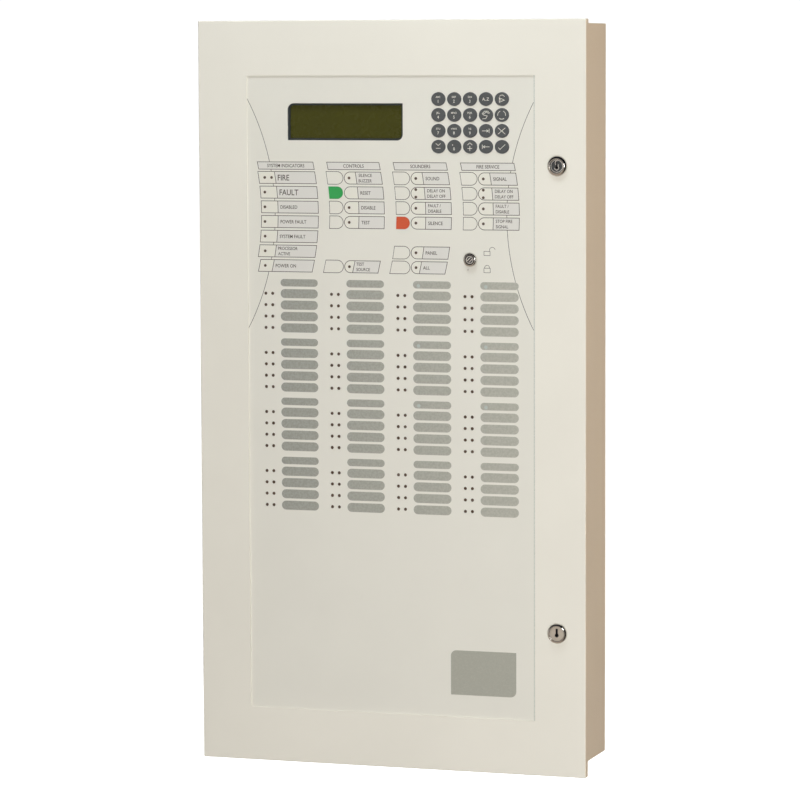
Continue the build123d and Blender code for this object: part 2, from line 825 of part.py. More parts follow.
with BuildPart() as fixing_screws:
    with BuildSketch(box_plane(equipment_top - screw_length)):
        with Locations(*fixing_points):
            Circle(screw_r)
    extrude(amount=screw_length)
    with BuildSketch(box_plane(equipment_top)):
        with Locations(*fixing_points):
            Circle(screw_head_r)
    extrude(amount=screw_head_t)
    with BuildSketch(box_plane(equipment_top + screw_head_t)):
        with Locations(*fixing_points):
            Rectangle(screw_slot[0], screw_slot[1])
            Rectangle(screw_slot[1], screw_slot[0])
    extrude(amount=-screw_slot_depth, mode=Mode.SUBTRACT)
fixing_screws.part.label = "fixing_screws"
export_step(fixing_screws.part, "parts/fixing_screws.step")

# Parts on the main board: place from the board's centre, pitches, counts, size and height
main_parts = (
    ((-40, -20), (1, 1), (1, 1), (30, 30), 3.0),  # processor
    ((-100, -20), (30, 34), (2, 3), (10, 22), 3.0),  # memory and driver chips
    ((60, 60), (36, 1), (6, 1), (16, 29), 16.0),  # relays of the alarm and fault outputs
    ((-120, 62), (20, 1), (5, 1), (9, 24), 11.0),  # fuse carriers
)
with BuildPart() as main_board:
    with BuildSketch(box_plane(standoff_top)):
        with Locations((0, main_z)):
            Rectangle(main_w, main_h)
        with Locations(*main_holes):
            Circle(board_hole_r, mode=Mode.SUBTRACT)
    extrude(amount=board_t)
    for (x, z), (pitch_x, pitch_z), (count_x, count_z), (part_w, part_h), height in main_parts:
        with BuildSketch(box_plane(equipment_top)):
            with Locations((x, main_z + z)):
                with GridLocations(pitch_x, pitch_z, count_x, count_z):
                    Rectangle(part_w, part_h)
        extrude(amount=height)
    with BuildSketch(box_plane(equipment_top)):
        with Locations((capacitor_at[0], main_z + capacitor_at[1])):
            with GridLocations(capacitor_pitch, capacitor_pitch, *capacitor_grid):
                Circle(capacitor_r)
        with Locations((buzzer_at[0], main_z + buzzer_at[1])):
            Circle(buzzer_r)
    extrude(amount=capacitor_h)
main_board.part.label = "main_board"
export_step(main_board.part, "parts/main_board.step")

terminal_z = main_z + main_h / 2 - terminal_h / 2 - terminal_inset
with BuildPart() as terminal_blocks:
    with BuildSketch(box_plane(equipment_top)):
        with Locations((0, terminal_z)):
            with GridLocations(terminal_pitch, 1, terminal_count, 1):
                Rectangle(terminal_w, terminal_h)
    extrude(amount=terminal_t)
    # Screw wells, four to a block
    with BuildSketch(box_plane(equipment_top + terminal_t)):
        with Locations((0, terminal_z)):
            with GridLocations(terminal_pitch, 1, terminal_count, 1):
                with GridLocations(terminal_w / terminal_wells, 1, terminal_wells, 1):
                    Circle(terminal_well_r)
    extrude(amount=-terminal_well_depth, mode=Mode.SUBTRACT)
terminal_blocks.part.label = "terminal_blocks"
export_step(terminal_blocks.part, "parts/terminal_blocks.step")

with BuildPart() as power_supply:
    with BuildSketch(box_plane(standoff_top)):
        with Locations((supply_x, supply_z)):
            Rectangle(supply_w, supply_h)
        with Locations(*supply_holes):
            Circle(board_hole_r, mode=Mode.SUBTRACT)
    extrude(amount=board_t)
    # Transformer
    with BuildSketch(box_plane(equipment_top)):
        with Locations((supply_x + transformer_at[0], supply_z + transformer_at[1])):
            Rectangle(*transformer_size)
    extrude(amount=transformer_h)
    # Heat sink: a base with fins
    with BuildSketch(box_plane(equipment_top)):
        with Locations((supply_x + sink_at[0], supply_z + sink_at[1])):
            Rectangle(*sink_size)
    extrude(amount=sink_base_t)
    with BuildSketch(box_plane(equipment_top + sink_base_t)):
        with Locations((supply_x + sink_at[0], supply_z + sink_at[1])):
            with GridLocations(sink_fin_pitch, 1, sink_fins, 1):
                Rectangle(sink_fin_t, sink_size[1])
    extrude(amount=sink_fin_h)
    # Reservoir capacitors and the supply's terminal strip
    with BuildSketch(box_plane(equipment_top)):
        with Locations((supply_x + reservoir_at[0], supply_z + reservoir_at[1])):
            with GridLocations(reservoir_pitch, 1, 2, 1):
                Circle(reservoir_r)
    extrude(amount=reservoir_h)
    with BuildSketch(box_plane(equipment_top)):
        with Locations((supply_x + supply_strip_at[0], supply_z + supply_strip_at[1])):
            Rectangle(*supply_strip)
    extrude(amount=supply_strip_h)
power_supply.part.label = "power_supply"
export_step(power_supply.part, "parts/power_supply.step")

# ---- standby batteries and the bracket that holds them --------------------------------------------
battery_mid_z = box_floor_z + battery_h / 2
with BuildPart() as batteries:
    with BuildSketch(box_plane(sheet)):
        with Locations((0, battery_mid_z)):
            with GridLocations(battery_w + battery_gap, 1, 2, 1):
                Rectangle(battery_w, battery_h)
    extrude(amount=battery_t)
    fillet(batteries.edges().filter_by(Axis.Z), battery_round)
    with BuildSketch(Plane.XY.offset(box_floor_z + battery_h)):
        with Locations((0, -sheet - battery_t / 2)):
            with GridLocations(battery_w + battery_gap, 1, 2, 1):
                with GridLocations(battery_w - 2 * battery_tab_inset, 1, 2, 1):
                    Rectangle(*battery_tab)
    extrude(amount=battery_tab_h)
batteries.part.label = "batteries"
export_step(batteries.part, "parts/batteries.step")

with BuildPart() as battery_clamp:
    clamp_front = sheet + battery_t + clamp_play
    clamp_span = 2 * (clamp_half + sheet)
    with BuildSketch(box_plane(standoff_top)):
        with Locations((0, clamp_z)):
            Rectangle(clamp_span + 2 * clamp_foot, clamp_h)
            Rectangle(clamp_span - 2 * sheet, clamp_h, mode=Mode.SUBTRACT)
        with Locations(*clamp_holes):
            Circle(board_hole_r, mode=Mode.SUBTRACT)
    extrude(amount=board_t)
    with BuildSketch(box_plane(standoff_top)):
        with Locations((0, clamp_z)):
            Rectangle(clamp_span, clamp_h)
            Rectangle(clamp_span - 2 * sheet, clamp_h, mode=Mode.SUBTRACT)
    extrude(amount=clamp_front + sheet - standoff_top)
    with BuildSketch(box_plane(clamp_front)):
        with Locations((0, clamp_z)):
            Rectangle(clamp_span, clamp_h)
    extrude(amount=sheet)
battery_clamp.part.label = "battery_clamp"
export_step(battery_clamp.part, "parts/battery_clamp.step")
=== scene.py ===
"""Looks of a wall-hung fire alarm control panel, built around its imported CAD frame.

Everything is in metres in the frame of the CAD: +X to the right, +Z up, front along -Y.
The artwork of the operator panel is laid out in millimetres from the door's centre.
"""

import math

import bmesh
import bpy
from mathutils import Matrix, Vector


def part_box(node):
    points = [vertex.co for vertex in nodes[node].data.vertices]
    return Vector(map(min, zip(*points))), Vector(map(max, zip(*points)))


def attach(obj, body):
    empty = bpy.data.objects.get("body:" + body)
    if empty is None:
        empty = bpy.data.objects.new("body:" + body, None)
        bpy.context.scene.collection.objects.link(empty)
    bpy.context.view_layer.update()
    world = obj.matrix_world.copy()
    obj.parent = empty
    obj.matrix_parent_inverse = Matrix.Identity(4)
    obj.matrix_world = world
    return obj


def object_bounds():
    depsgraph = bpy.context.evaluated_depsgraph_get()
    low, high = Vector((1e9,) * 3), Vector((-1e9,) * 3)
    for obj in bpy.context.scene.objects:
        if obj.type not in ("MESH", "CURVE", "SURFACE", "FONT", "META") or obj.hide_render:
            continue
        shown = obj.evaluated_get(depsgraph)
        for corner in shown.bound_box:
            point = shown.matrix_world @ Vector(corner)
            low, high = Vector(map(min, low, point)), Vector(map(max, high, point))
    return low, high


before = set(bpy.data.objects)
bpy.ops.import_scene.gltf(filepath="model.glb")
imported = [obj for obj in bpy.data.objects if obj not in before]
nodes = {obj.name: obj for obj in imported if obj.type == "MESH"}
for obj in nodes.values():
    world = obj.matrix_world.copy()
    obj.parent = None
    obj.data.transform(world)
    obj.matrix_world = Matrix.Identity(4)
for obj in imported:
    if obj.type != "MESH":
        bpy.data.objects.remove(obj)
cad_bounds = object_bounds()
MM = 0.001

# ---- layout of the operator panel, in millimetres from the door's centre ----------------
ARC_R = 274.5  # every slanted edge and the two long arcs have this radius
ARC_Z = 205.6
ROW_TOP = 247.1
ROW_PITCH = 16.73
ROW_H = 13.6
HEADER_Z = 260.7
HEADER_H = 8.3
COLUMN_PITCH = 79.5
INDICATOR_APEX = -154.4
INDICATOR_DIVIDER = -134.3
INDICATOR_END = -85.6
BUTTON_APEX = -71.5
BUTTON_W = 15.4
CELL_FROM_APEX = 17.2
DIVIDER_FROM_APEX = 34.6
END_FROM_APEX = 65.0
LAST_ROW_INSET = 3.6  # the last indicator box starts a little further in
LONG_ARC_X = 412.4
RIM_GAP = 0.35
LINE_W = 0.7
LOCK_X, LOCK_Z = 197.0, 262.0
SWITCH_X, SWITCH_Z = 95.3, 156.4
KEYHOLE_DEPTH = 5.0
CORES = {
    # node of a turning core: its centre, its radius and its finish
    "upper_lock_core": ((LOCK_X, LOCK_Z), 7.2, "core_dark"),
    "lower_lock_core": ((LOCK_X, -LOCK_Z), 7.2, "core_bright"),
    "key_switch_core": ((SWITCH_X, SWITCH_Z), 4.4, "core_dark"),
}
PRINT_T = 0.04  # how far a printed line stands on the overlay
FILL_T = 0.02  # how far a printed cell stands on it

door_low, door_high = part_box("door_shell")
DOOR_Z = (door_low.z + door_high.z) / 2
PANEL_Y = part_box("fascia_overlay")[0].y


def on_panel(x, z, rise=0.0):
    """Point on the front of the operator panel, with its rise towards the viewer, from millimetres."""
    return Vector((x * MM, PANEL_Y - rise * MM, DOOR_Z + z * MM))


def row_z(row):
    return ROW_TOP - row * ROW_PITCH


def slant(apex, z):
    """Where a slanted edge with this apex stands at height z."""
    return apex - (ARC_R - math.sqrt(ARC_R**2 - (z - ARC_Z) ** 2))


# ---- mesh building ----------------------------------------------------------------------
LATHE_STEPS = 64
SHARPEST_MITRE = 0.35  # keeps the mitre of a sharp turn from growing long


def prism(bm, outline, back, front, place=on_panel):
    """Closed flat solid on an anticlockwise outline of (x, z), between two rises in millimetres."""
    low = [bm.verts.new(place(x, z, back)) for x, z in outline]
    high = [bm.verts.new(place(x, z, front)) for x, z in outline]
    bm.faces.new(high)
    bm.faces.new(list(reversed(low)))
    count = len(outline)
    for i in range(count):
        j = (i + 1) % count
        bm.faces.new((low[i], low[j], high[j], high[i]))


def stroke(bm, points, width, back=0.0, front=PRINT_T, closed=False, place=on_panel):
    """Flat line of one width along points, mitred where it turns."""
    path = [Vector(p) for p in points]
    count = len(path)
    left, right = [], []
    for i, point in enumerate(path):
        before = path[i - 1] if i or closed else None
        after = path[(i + 1) % count] if i < count - 1 or closed else None
        ways = []
        if before is not None:
            ways.append((point - before).normalized())
        if after is not None:
            ways.append((after - point).normalized())
        way = sum(ways, Vector((0, 0))).normalized()
        side = Vector((-way.y, way.x))
        reach = width / 2 / max(SHARPEST_MITRE, side.dot(Vector((-ways[0].y, ways[0].x))))
        left.append(point + side * reach)
        right.append(point - side * reach)
    spans = count if closed else count - 1
    rings = []
    for a, b in zip(left, right):
        rings.append(
            [
                bm.verts.new(place(a.x, a.y, back)),
                bm.verts.new(place(b.x, b.y, back)),
                bm.verts.new(place(b.x, b.y, front)),
                bm.verts.new(place(a.x, a.y, front)),
            ]
        )
    for i in range(spans):
        here, there = rings[i], rings[(i + 1) % count]
        for k in range(4):
            m = (k + 1) % 4
            bm.faces.new((here[k], here[m], there[m], there[k]))
    if not closed:
        bm.faces.new(list(reversed(rings[0])))
        bm.faces.new(rings[-1])


def arc(x, z, radius, start, end, steps=12):
    """Points of an arc between two angles in degrees."""
    angles = [math.radians(start + (end - start) * i / steps) for i in range(steps + 1)]
    return [(x + radius * math.cos(a), z + radius * math.sin(a)) for a in angles]


def rounded_box(x, z, w, h, radii):
    """Anticlockwise outline of a rectangle; radii are upper right, upper left, lower left, lower right."""
    corners = ((1, 1, 0), (-1, 1, 90), (-1, -1, 180), (1, -1, 270))
    points = []
    for (sx, sz, start), radius in zip(corners, radii):
        cx, cz = x + sx * w / 2, z + sz * h / 2
        if radius <= 0:
            points.append((cx, cz))
        else:
            points += arc(cx - sx * radius, cz - sz * radius, radius, start, start + 90, 6)
    return points


def box_outline(x, z, w, h):
    """Anticlockwise outline of a rectangle with sharp corners."""
    return rounded_box(x, z, w, h, (0, 0, 0, 0))


def lathe(bm, profile, place):
    """Closed ring turned about a place's centre from an outline of (radius, rise)."""
    rings = []
    for i in range(LATHE_STEPS):
        angle = 2 * math.pi * i / LATHE_STEPS
        across, up = math.cos(angle), math.sin(angle)
        rings.append([bm.verts.new(place(r * across, r * up, rise)) for r, rise in profile])
    for i, ring in enumerate(rings):
        after = rings[(i + 1) % LATHE_STEPS]
        for k in range(len(profile)):
            m = (k + 1) % len(profile)
            bm.faces.new((ring[k], ring[m], after[m], after[k]))


def piece_from(bm, name, material, body, smooth=False):
    """Finished object from a bmesh: it rides on a body."""
    bmesh.ops.recalc_face_normals(bm, faces=bm.faces)
    mesh = bpy.data.meshes.new(name)
    bm.to_mesh(mesh)
    bm.free()
    mesh.materials.append(material)
    for polygon in mesh.polygons:
        polygon.use_smooth = smooth
    piece = bpy.data.objects.new(name, mesh)
    bpy.context.scene.collection.objects.link(piece)
    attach(piece, body)


# ---- lettering --------------------------------------------------------------------------
LETTER_WEIGHT = 0.012  # thickens the strokes, as a share of the letter size
LETTER_SQUEEZE = 0.86  # width of the panel's letters against the font's own


def letter_mesh(text):
    """Mesh of a line of text at the font's own size, one unit thick."""
    curve = bpy.data.curves.new("lettering", "FONT")
    curve.body = text
    curve.extrude = 0.5
    curve.offset = LETTER_WEIGHT
    curve.resolution_u = 3
    holder = bpy.data.objects.new("lettering", curve)
    bpy.context.scene.collection.objects.link(holder)
    graph = bpy.context.evaluated_depsgraph_get()
    mesh = bpy.data.meshes.new_from_object(holder.evaluated_get(graph))
    bpy.data.objects.remove(holder)
    bpy.data.curves.remove(curve)
    return mesh


def font_cap_height():
    """Height of a capital in the font's own size."""
    mesh = letter_mesh("H")
    top = max(v.co.y for v in mesh.vertices)
    bpy.data.meshes.remove(mesh)
    return top


CAP = font_cap_height()


def lettering(bm, text, x, z, cap, squeeze=LETTER_SQUEEZE, align="left", place=on_panel):
    """Adds a line of text: x is its left edge or middle and z the middle of its capitals."""
    mesh = letter_mesh(text)
    scale = cap / CAP
    xs = [v.co.x for v in mesh.vertices]
    start = min(xs) if align == "left" else (min(xs) + max(xs)) / 2
    for vertex in mesh.vertices:
        across = x + (vertex.co.x - start) * scale * squeeze
        up = z + vertex.co.y * scale - cap / 2
        rise = (vertex.co.z + 0.5) * PRINT_T
        vertex.co = place(across, up, rise)
    bm.from_mesh(mesh)
    bpy.data.meshes.remove(mesh)


# ---- materials --------------------------------------------------------------------------
def srgb(red, green, blue):
    """Linear colour from 0 to 255 display values."""
    out = []
    for value in (red, green, blue):
        share = value / 255
        out.append(share / 12.92 if share <= 0.04045 else ((share + 0.055) / 1.055) ** 2.4)
    return (*out, 1.0)


NOISE_ROUGHNESS = 0.55
FILM_GRAIN_MM = 0.35


class Finish:
    """One procedural material: a principled shader with noise on colour, roughness and height."""

    def __init__(self, name, roughness=0.5, metallic=0.0, **sockets):
        self.material = bpy.data.materials.new(name)
        self.material.use_nodes = True
        self.tree = self.material.node_tree
        self.shader = self.tree.nodes["Principled BSDF"]
        self.shader.inputs["Metallic"].default_value = metallic
        self.shader.inputs["Roughness"].default_value = roughness
        for socket, value in sockets.items():
            self.shader.inputs[socket.replace("_", " ")].default_value = value
        self.place = self.tree.nodes.new("ShaderNodeTexCoord").outputs["Object"]
        self.height = None

    def link(self, source, target):
        self.tree.links.new(source, target)

    def math(self, operation, first, second=None):
        node = self.tree.nodes.new("ShaderNodeMath")
        node.operation = operation
        for socket, value in zip(node.inputs, (first, second)):
            if value is None:
                continue
            if isinstance(value, (int, float)):
                socket.default_value = value
            else:
                self.link(value, socket)
        return node.outputs["Value"]

    def noise(self, size_mm, detail=3.0, stretch=(1, 1, 1)):
        """Noise whose features are about size_mm across, from 0 to 1."""
        mapping = self.tree.nodes.new("ShaderNodeMapping")
        mapping.inputs["Scale"].default_value = stretch
        self.link(self.place, mapping.inputs["Vector"])
        node = self.tree.nodes.new("ShaderNodeTexNoise")
        node.inputs["Scale"].default_value = 1 / (size_mm * MM)
        node.inputs["Detail"].default_value = detail
        node.inputs["Roughness"].default_value = NOISE_ROUGHNESS
        self.link(mapping.outputs["Vector"], node.inputs["Vector"])
        return node.outputs["Fac"]

    def cells(self, size_mm, randomness=1.0, feature="F1"):
        node = self.tree.nodes.new("ShaderNodeTexVoronoi")
        node.feature = feature
        node.inputs["Scale"].default_value = 1 / (size_mm * MM)
        node.inputs["Randomness"].default_value = randomness
        self.link(self.place, node.inputs["Vector"])
        return node.outputs["Distance"]

    def spread(self, value, low, high, out_low=0.0, out_high=1.0):
        """Maps a value's range low..high to another range, held at its ends."""
        node = self.tree.nodes.new("ShaderNodeMapRange")
        self.link(value, node.inputs["Value"])
        numbers = (low, high, out_low, out_high)
        for socket, number in zip(("From Min", "From Max", "To Min", "To Max"), numbers):
            node.inputs[socket].default_value = number
        return node.outputs["Result"]

    def blend(self, share, first, second):
        """Colour between two colours, each a tuple or an output."""
        node = self.tree.nodes.new("ShaderNodeMix")
        node.data_type = "RGBA"
        self.link(share, node.inputs["Factor"])
        for socket, value in zip((node.inputs[6], node.inputs[7]), (first, second)):
            if isinstance(value, tuple):
                socket.default_value = value
            else:
                self.link(value, socket)
        return node.outputs[2]

    def split(self):
        """X, Y and Z of the object's own coordinates."""
        node = self.tree.nodes.new("ShaderNodeSeparateXYZ")
        self.link(self.place, node.inputs["Vector"])
        return node.outputs["X"], node.outputs["Y"], node.outputs["Z"]

    def edges(self, width_mm):
        """Share from 0 to 1 that is 1 on the sharp and rounded edges of the shape."""
        bevel = self.tree.nodes.new("ShaderNodeBevel")
        bevel.samples = 4
        bevel.inputs["Radius"].default_value = width_mm * MM
        flat = self.tree.nodes.new("ShaderNodeNewGeometry").outputs["Normal"]
        dot = self.tree.nodes.new("ShaderNodeVectorMath")
        dot.operation = "DOT_PRODUCT"
        self.link(bevel.outputs["Normal"], dot.inputs[0])
        self.link(flat, dot.inputs[1])
        return self.spread(dot.outputs["Value"], 0.97, 0.75)

    def colour(self, value):
        if isinstance(value, tuple):
            self.shader.inputs["Base Color"].default_value = value
        else:
            self.link(value, self.shader.inputs["Base Color"])

    def mottled(self, colour, other, size_mm, detail=3.0):
        """Colour that wanders between two colours."""
        return self.blend(self.spread(self.noise(size_mm, detail), 0.35, 0.65), colour, other)

    def roughen(self, low, high, size_mm, stretch=(1, 1, 1)):
        """Roughness that wanders between two values."""
        self.link(
            self.spread(self.noise(size_mm, 4.0, stretch), 0.3, 0.7, low, high),
            self.shader.inputs["Roughness"],
        )

    def emboss(self, height, depth_mm, strength=1.0):
        """Adds a bump from a height output; later bumps lie on earlier ones."""
        node = self.tree.nodes.new("ShaderNodeBump")
        node.inputs["Strength"].default_value = strength
        node.inputs["Distance"].default_value = depth_mm * MM
        self.link(height, node.inputs["Height"])
        if self.height is not None:
            self.link(self.height, node.inputs["Normal"])
        self.height = node.outputs["Normal"]
        self.link(self.height, self.shader.inputs["Normal"])


def tinted(colour, factor):
    """The same colour, lighter or darker."""
    return (*[min(1.0, channel * factor) for channel in colour[:3]], 1.0)


def powder_coat(name, colour):
    """Fine-textured paint on steel: orange peel, a little handling grime and thinner paint on edges."""
    finish = Finish(name, Specular_IOR_Level=0.45)
    body = finish.mottled(tinted(colour, 0.985), tinted(colour, 1.012), 120.0)
    specks = finish.spread(finish.noise(0.9, 2.0), 0.68, 0.78)
    body = finish.blend(specks, body, tinted(colour, 0.93))
    finish.colour(finish.blend(finish.edges(0.8), body, tinted(colour, 1.06)))
    finish.roughen(0.42, 0.56, 30.0)
    finish.emboss(finish.noise(2.4, 2.0), 0.03, 0.5)
    finish.emboss(finish.noise(0.5, 2.0), 0.012, 0.6)
    return finish.material


def printed_film(name, colour, variation=0.02):
    """Matt printed polyester with a fine velvet grain."""
    finish = Finish(name, Specular_IOR_Level=0.4)
    body = finish.mottled(tinted(colour, 1 - variation), tinted(colour, 1 + variation), 90.0)
    grain = finish.spread(finish.noise(FILM_GRAIN_MM, 1.0), 0.3, 0.7)
    finish.colour(finish.blend(grain, body, tinted(colour, 0.985)))
    finish.roughen(0.48, 0.6, 18.0)
    finish.emboss(finish.noise(FILM_GRAIN_MM, 2.0), 0.008, 0.5)
    return finish.material


def ink(name, colour):
    """Screen-printed ink, a little uneven."""
    finish = Finish(name)
    finish.colour(finish.mottled(colour, tinted(colour, 1.25), 1.5))
    finish.roughen(0.45, 0.65, 4.0)
    finish.emboss(finish.noise(0.25, 1.0), 0.004, 0.4)
    return finish.material


def clouded_film(name, colour, contrast, size_mm):
    """Translucent label film with a cloudy, pressed texture."""
    finish = Finish(name, Specular_IOR_Level=0.5)
    coarse = finish.mottled(tinted(colour, 1 - contrast), tinted(colour, 1 + contrast), size_mm)
    fine = finish.spread(finish.noise(size_mm * 0.3, 2.0), 0.42, 0.62)
    finish.colour(finish.blend(fine, coarse, tinted(colour, 1 - contrast * 1.4)))
    finish.roughen(0.39, 0.53, 5.0)
    finish.emboss(finish.noise(size_mm * 0.6, 2.0), 0.02, 0.5)
    return finish.material


def moulded(name, colour, roughness=0.5, grain_mm=0.6, depth_mm=0.015, edge=1.15, variation=0.04):
    """Moulded plastic or rubber with a spark-eroded texture and lighter edges: slight wear, and on the
    lamp lenses a painted highlight.
    """
    finish = Finish(name)
    body = finish.mottled(tinted(colour, 1 - variation), tinted(colour, 1 + variation), 7.0)
    # lighter edges: wear on most parts, a painted highlight on the lamp lenses
    finish.colour(finish.blend(finish.edges(0.35), body, tinted(colour, edge)))
    finish.roughen(roughness - 0.06, roughness + 0.08, 3.0)
    finish.emboss(finish.noise(grain_mm, 2.0), depth_mm, 0.6)
    return finish.material


def bare_metal(name, colour, roughness, brushed=(1, 1, 1), tarnish=0.88, size_mm=12.0, metallic=1.0):
    """Plated or brushed metal with fine scratches and a patchy bloom."""
    finish = Finish(name, metallic=metallic)
    body = finish.mottled(colour, tinted(colour, tarnish), size_mm, detail=5.0)
    scratches = finish.spread(finish.noise(0.4, 2.0, brushed), 0.62, 0.75)
    finish.colour(finish.blend(scratches, body, tinted(colour, 0.8)))
    finish.roughen(roughness * 0.8, roughness * 1.5, 2.0, brushed)
    finish.emboss(finish.noise(0.3, 2.0, brushed), 0.004, 0.35)
    return finish.material


CASE = srgb(236, 233, 222)
OVERLAY = srgb(230, 228, 218)

materials = {
    "case_paint": powder_coat("case_paint", CASE),
    "overlay": printed_film("overlay_film", OVERLAY),
    "text_cell": printed_film("text_cell_print", srgb(223, 221, 215), 0.01),
    "lamp_cell": printed_film("lamp_cell_print", srgb(232, 230, 219), 0.01),
    "edge_shade": ink("overlay_edge_shade", srgb(196, 198, 190)),
    "label_spot": clouded_film("label_spot_film", srgb(184, 193, 188), 0.04, 1.6),
    "rating": clouded_film("rating_label_film", srgb(172, 172, 161), 0.05, 2.2),
    "dark_ink": ink("dark_ink", srgb(74, 67, 58)),
    "light_ink": ink("light_ink", srgb(222, 220, 208)),
    "button": printed_film("button_film", OVERLAY, 0.015),
    "green": printed_film("button_green", srgb(60, 163, 88), 0.04),
    "red": printed_film("button_red", srgb(210, 93, 63), 0.04),
    "keys": moulded("key_rubber", srgb(85, 87, 88), 0.55, 0.5, 0.012, 1.25),
    # lamp lenses: their strongly lighter rims (edge 1.5) are a painted highlight
    "lamp": moulded("lamp_lens", srgb(88, 72, 60), 0.35, 0.8, 0.004, 1.5, 0.15),
    "border": ink("display_border", srgb(44, 49, 52)),
    "zinc": bare_metal("zinc_plate", srgb(196, 197, 194), 0.32),
    "steel": bare_metal("plated_sheet", srgb(178, 180, 179), 0.4, (1, 1, 0.08), metallic=0.45),
    "chrome": bare_metal("polished_chrome", srgb(222, 218, 212), 0.06, tarnish=0.96, size_mm=3.0),
    "core_dark": moulded("dark_nickel", srgb(64, 66, 67), 0.42, 0.7, 0.006, 1.2, 0.08),
    "core_bright": moulded("satin_nickel", srgb(184, 173, 158), 0.42, 0.8, 0.006, 1.1, 0.05),
    "keyway": moulded("keyway_shadow", srgb(26, 25, 25), 0.6, 0.5, 0.01),
    # keyway edges: worn metal, with a painted highlight in their light beige
    "key_edge_wear_and_highlight": moulded("keyway_edge_wear_and_highlight", srgb(214, 206, 196), 0.35, 0.4, 0.01),
    "brass": bare_metal("brass", srgb(205, 178, 110), 0.28, size_mm=4.0),
    "nylon": moulded("nylon", srgb(232, 230, 220), 0.45),
    "black": moulded("black_plastic", srgb(38, 39, 42), 0.45),
    "blue": moulded("relay_blue", srgb(34, 74, 128), 0.4),
    "terminal": moulded("terminal_plastic", srgb(44, 122, 74), 0.42),
    "battery": moulded("battery_case", srgb(44, 45, 48), 0.5, 0.9, 0.03),
    "silk": ink("board_legend_ink", srgb(220, 222, 212)),
    "tin": bare_metal("tinned_pins", srgb(200, 201, 198), 0.3, size_mm=2.0, metallic=0.7),
    "plate": printed_film("blank_plate", srgb(206, 205, 196), 0.03),
}


def display_glass_finish():
    """Unlit green display: a deep olive cell with the faint grid of its dots."""
    finish = Finish("display_green", Specular_IOR_Level=0.3)
    x, _, z = finish.split()
    dot = 0.53 * MM
    grid_x = finish.math("FRACT", finish.math("DIVIDE", x, dot))
    grid_z = finish.math("FRACT", finish.math("DIVIDE", z, dot))
    line = finish.math("MINIMUM", grid_x, grid_z)
    body = finish.mottled(srgb(70, 69, 14), srgb(68, 67, 15), 25.0)
    finish.colour(finish.blend(finish.spread(line, 0.1, 0.16), srgb(58, 57, 15), body))
    finish.roughen(0.22, 0.32, 12.0)
    return finish.material


def label_film_finish():
    """Translucent grey label film: cloudy, with painted light that makes it darker on the left and paler
    towards the right.
    """
    finish = Finish("zone_label_film", Specular_IOR_Level=0.45)
    x, _, _ = finish.split()
    # painted light: across runs each film from painted shade on the left to painted light on the right
    across = finish.spread(x, -0.14, 0.15)
    tone_shaded_to_lit = finish.blend(across, srgb(152, 153, 145), srgb(173, 173, 162))
    pale_shaded_to_lit = finish.blend(across, srgb(163, 164, 156), srgb(184, 183, 173))
    cloud = finish.spread(finish.noise(2.2, 3.0), 0.38, 0.62)
    finish.colour(finish.blend(cloud, tone_shaded_to_lit, pale_shaded_to_lit))
    finish.roughen(0.4, 0.55, 5.0)
    finish.emboss(finish.noise(0.9, 2.0), 0.02, 0.5)
    return finish.material


def clear_acrylic():
    """Clear window: nearly transparent, with a slight olive tint and a soft gloss."""
    finish = Finish("clear_acrylic", roughness=0.12, Alpha=0.05)
    finish.colour(finish.mottled(srgb(88, 90, 48), srgb(85, 87, 47), 20.0))
    finish.roughen(0.1, 0.13, 6.0)
    finish.material.surface_render_method = "BLENDED"
    return finish.material


def circuit_board_finish():
    """Solder-masked board: copper tracks under green lacquer, with plated holes."""
    finish = Finish("circuit_board", Coat_Weight=0.25, Coat_Roughness=0.2)
    mask = srgb(28, 92, 52)
    tracks = finish.spread(finish.cells(3.2, 0.9, "DISTANCE_TO_EDGE"), 0.05, 0.09)
    copper = finish.blend(tracks, srgb(58, 128, 70), mask)
    holes = finish.spread(finish.cells(5.0, 0.6), 0.12, 0.16)
    finish.colour(finish.blend(holes, srgb(196, 190, 160), copper))
    finish.roughen(0.32, 0.5, 6.0)
    finish.emboss(finish.cells(3.2, 0.9, "DISTANCE_TO_EDGE"), 0.05, 0.4)
    return finish.material


materials["display"] = display_glass_finish()
materials["label"] = label_film_finish()
materials["acrylic"] = clear_acrylic()
materials["board"] = circuit_board_finish()


def dress(names, *choices, rule=None):
    """Gives CAD nodes their materials; rule picks one by a face's middle."""
    for name in names:
        mesh = nodes[name].data
        mesh.materials.clear()
        for choice in choices:
            mesh.materials.append(materials[choice])
        for polygon in mesh.polygons:
            polygon.material_index = rule(polygon.center) if rule else 0


key_nodes = sorted(n for n in nodes if n.startswith("key_") and not n.startswith("key_switch"))
button_nodes = sorted(n for n in nodes if n.startswith("button_"))

dress(["back_box", "box_frame", "door_shell"], "case_paint")
dress(["fascia_overlay"], "overlay")
dress(["fascia_plate", "battery_clamp"], "steel")
dress(["zone_labels"], "label")
dress(["indicator_leds"], "lamp")
dress(["hinge_pins", "door_nuts", "fixing_screws"], "zinc")
dress(["board_supports"], "nylon")
dress(["board_standoffs"], "brass")
dress(["lock_bodies", "key_switch_body"], "chrome")


def keyway_rule(node, at, core_r):
    """Index 1 on the walls and floor of a key slot, which are painted dark as shade, 0 on the rest of a
    core.
    """
    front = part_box(node)[0].y

    def rule(middle):
        depth = (middle.y - front) / MM
        away = math.hypot(middle.x / MM - at[0], (middle.z - DOOR_Z) / MM - at[1])
        return 1 if away < core_r - 0.3 and 0.02 < depth < KEYHOLE_DEPTH + 1 else 0

    return rule


for node, (at, core_r, finish_name) in CORES.items():
    dress([node], finish_name, "keyway", rule=keyway_rule(node, at, core_r))
dress(["lcd_window"], "acrylic")
dress(["lcd_module"], "border")
dress(key_nodes, "keys")
dress(button_nodes, "button")
dress(["button_reset"], "green")
dress(["button_silence"], "red")


# ---- materials of the boards, by the height of each face over its board -------------------
BOARD_T = 1.6
REAR_PART_T = 3.0  # all the parts behind the display board are this tall


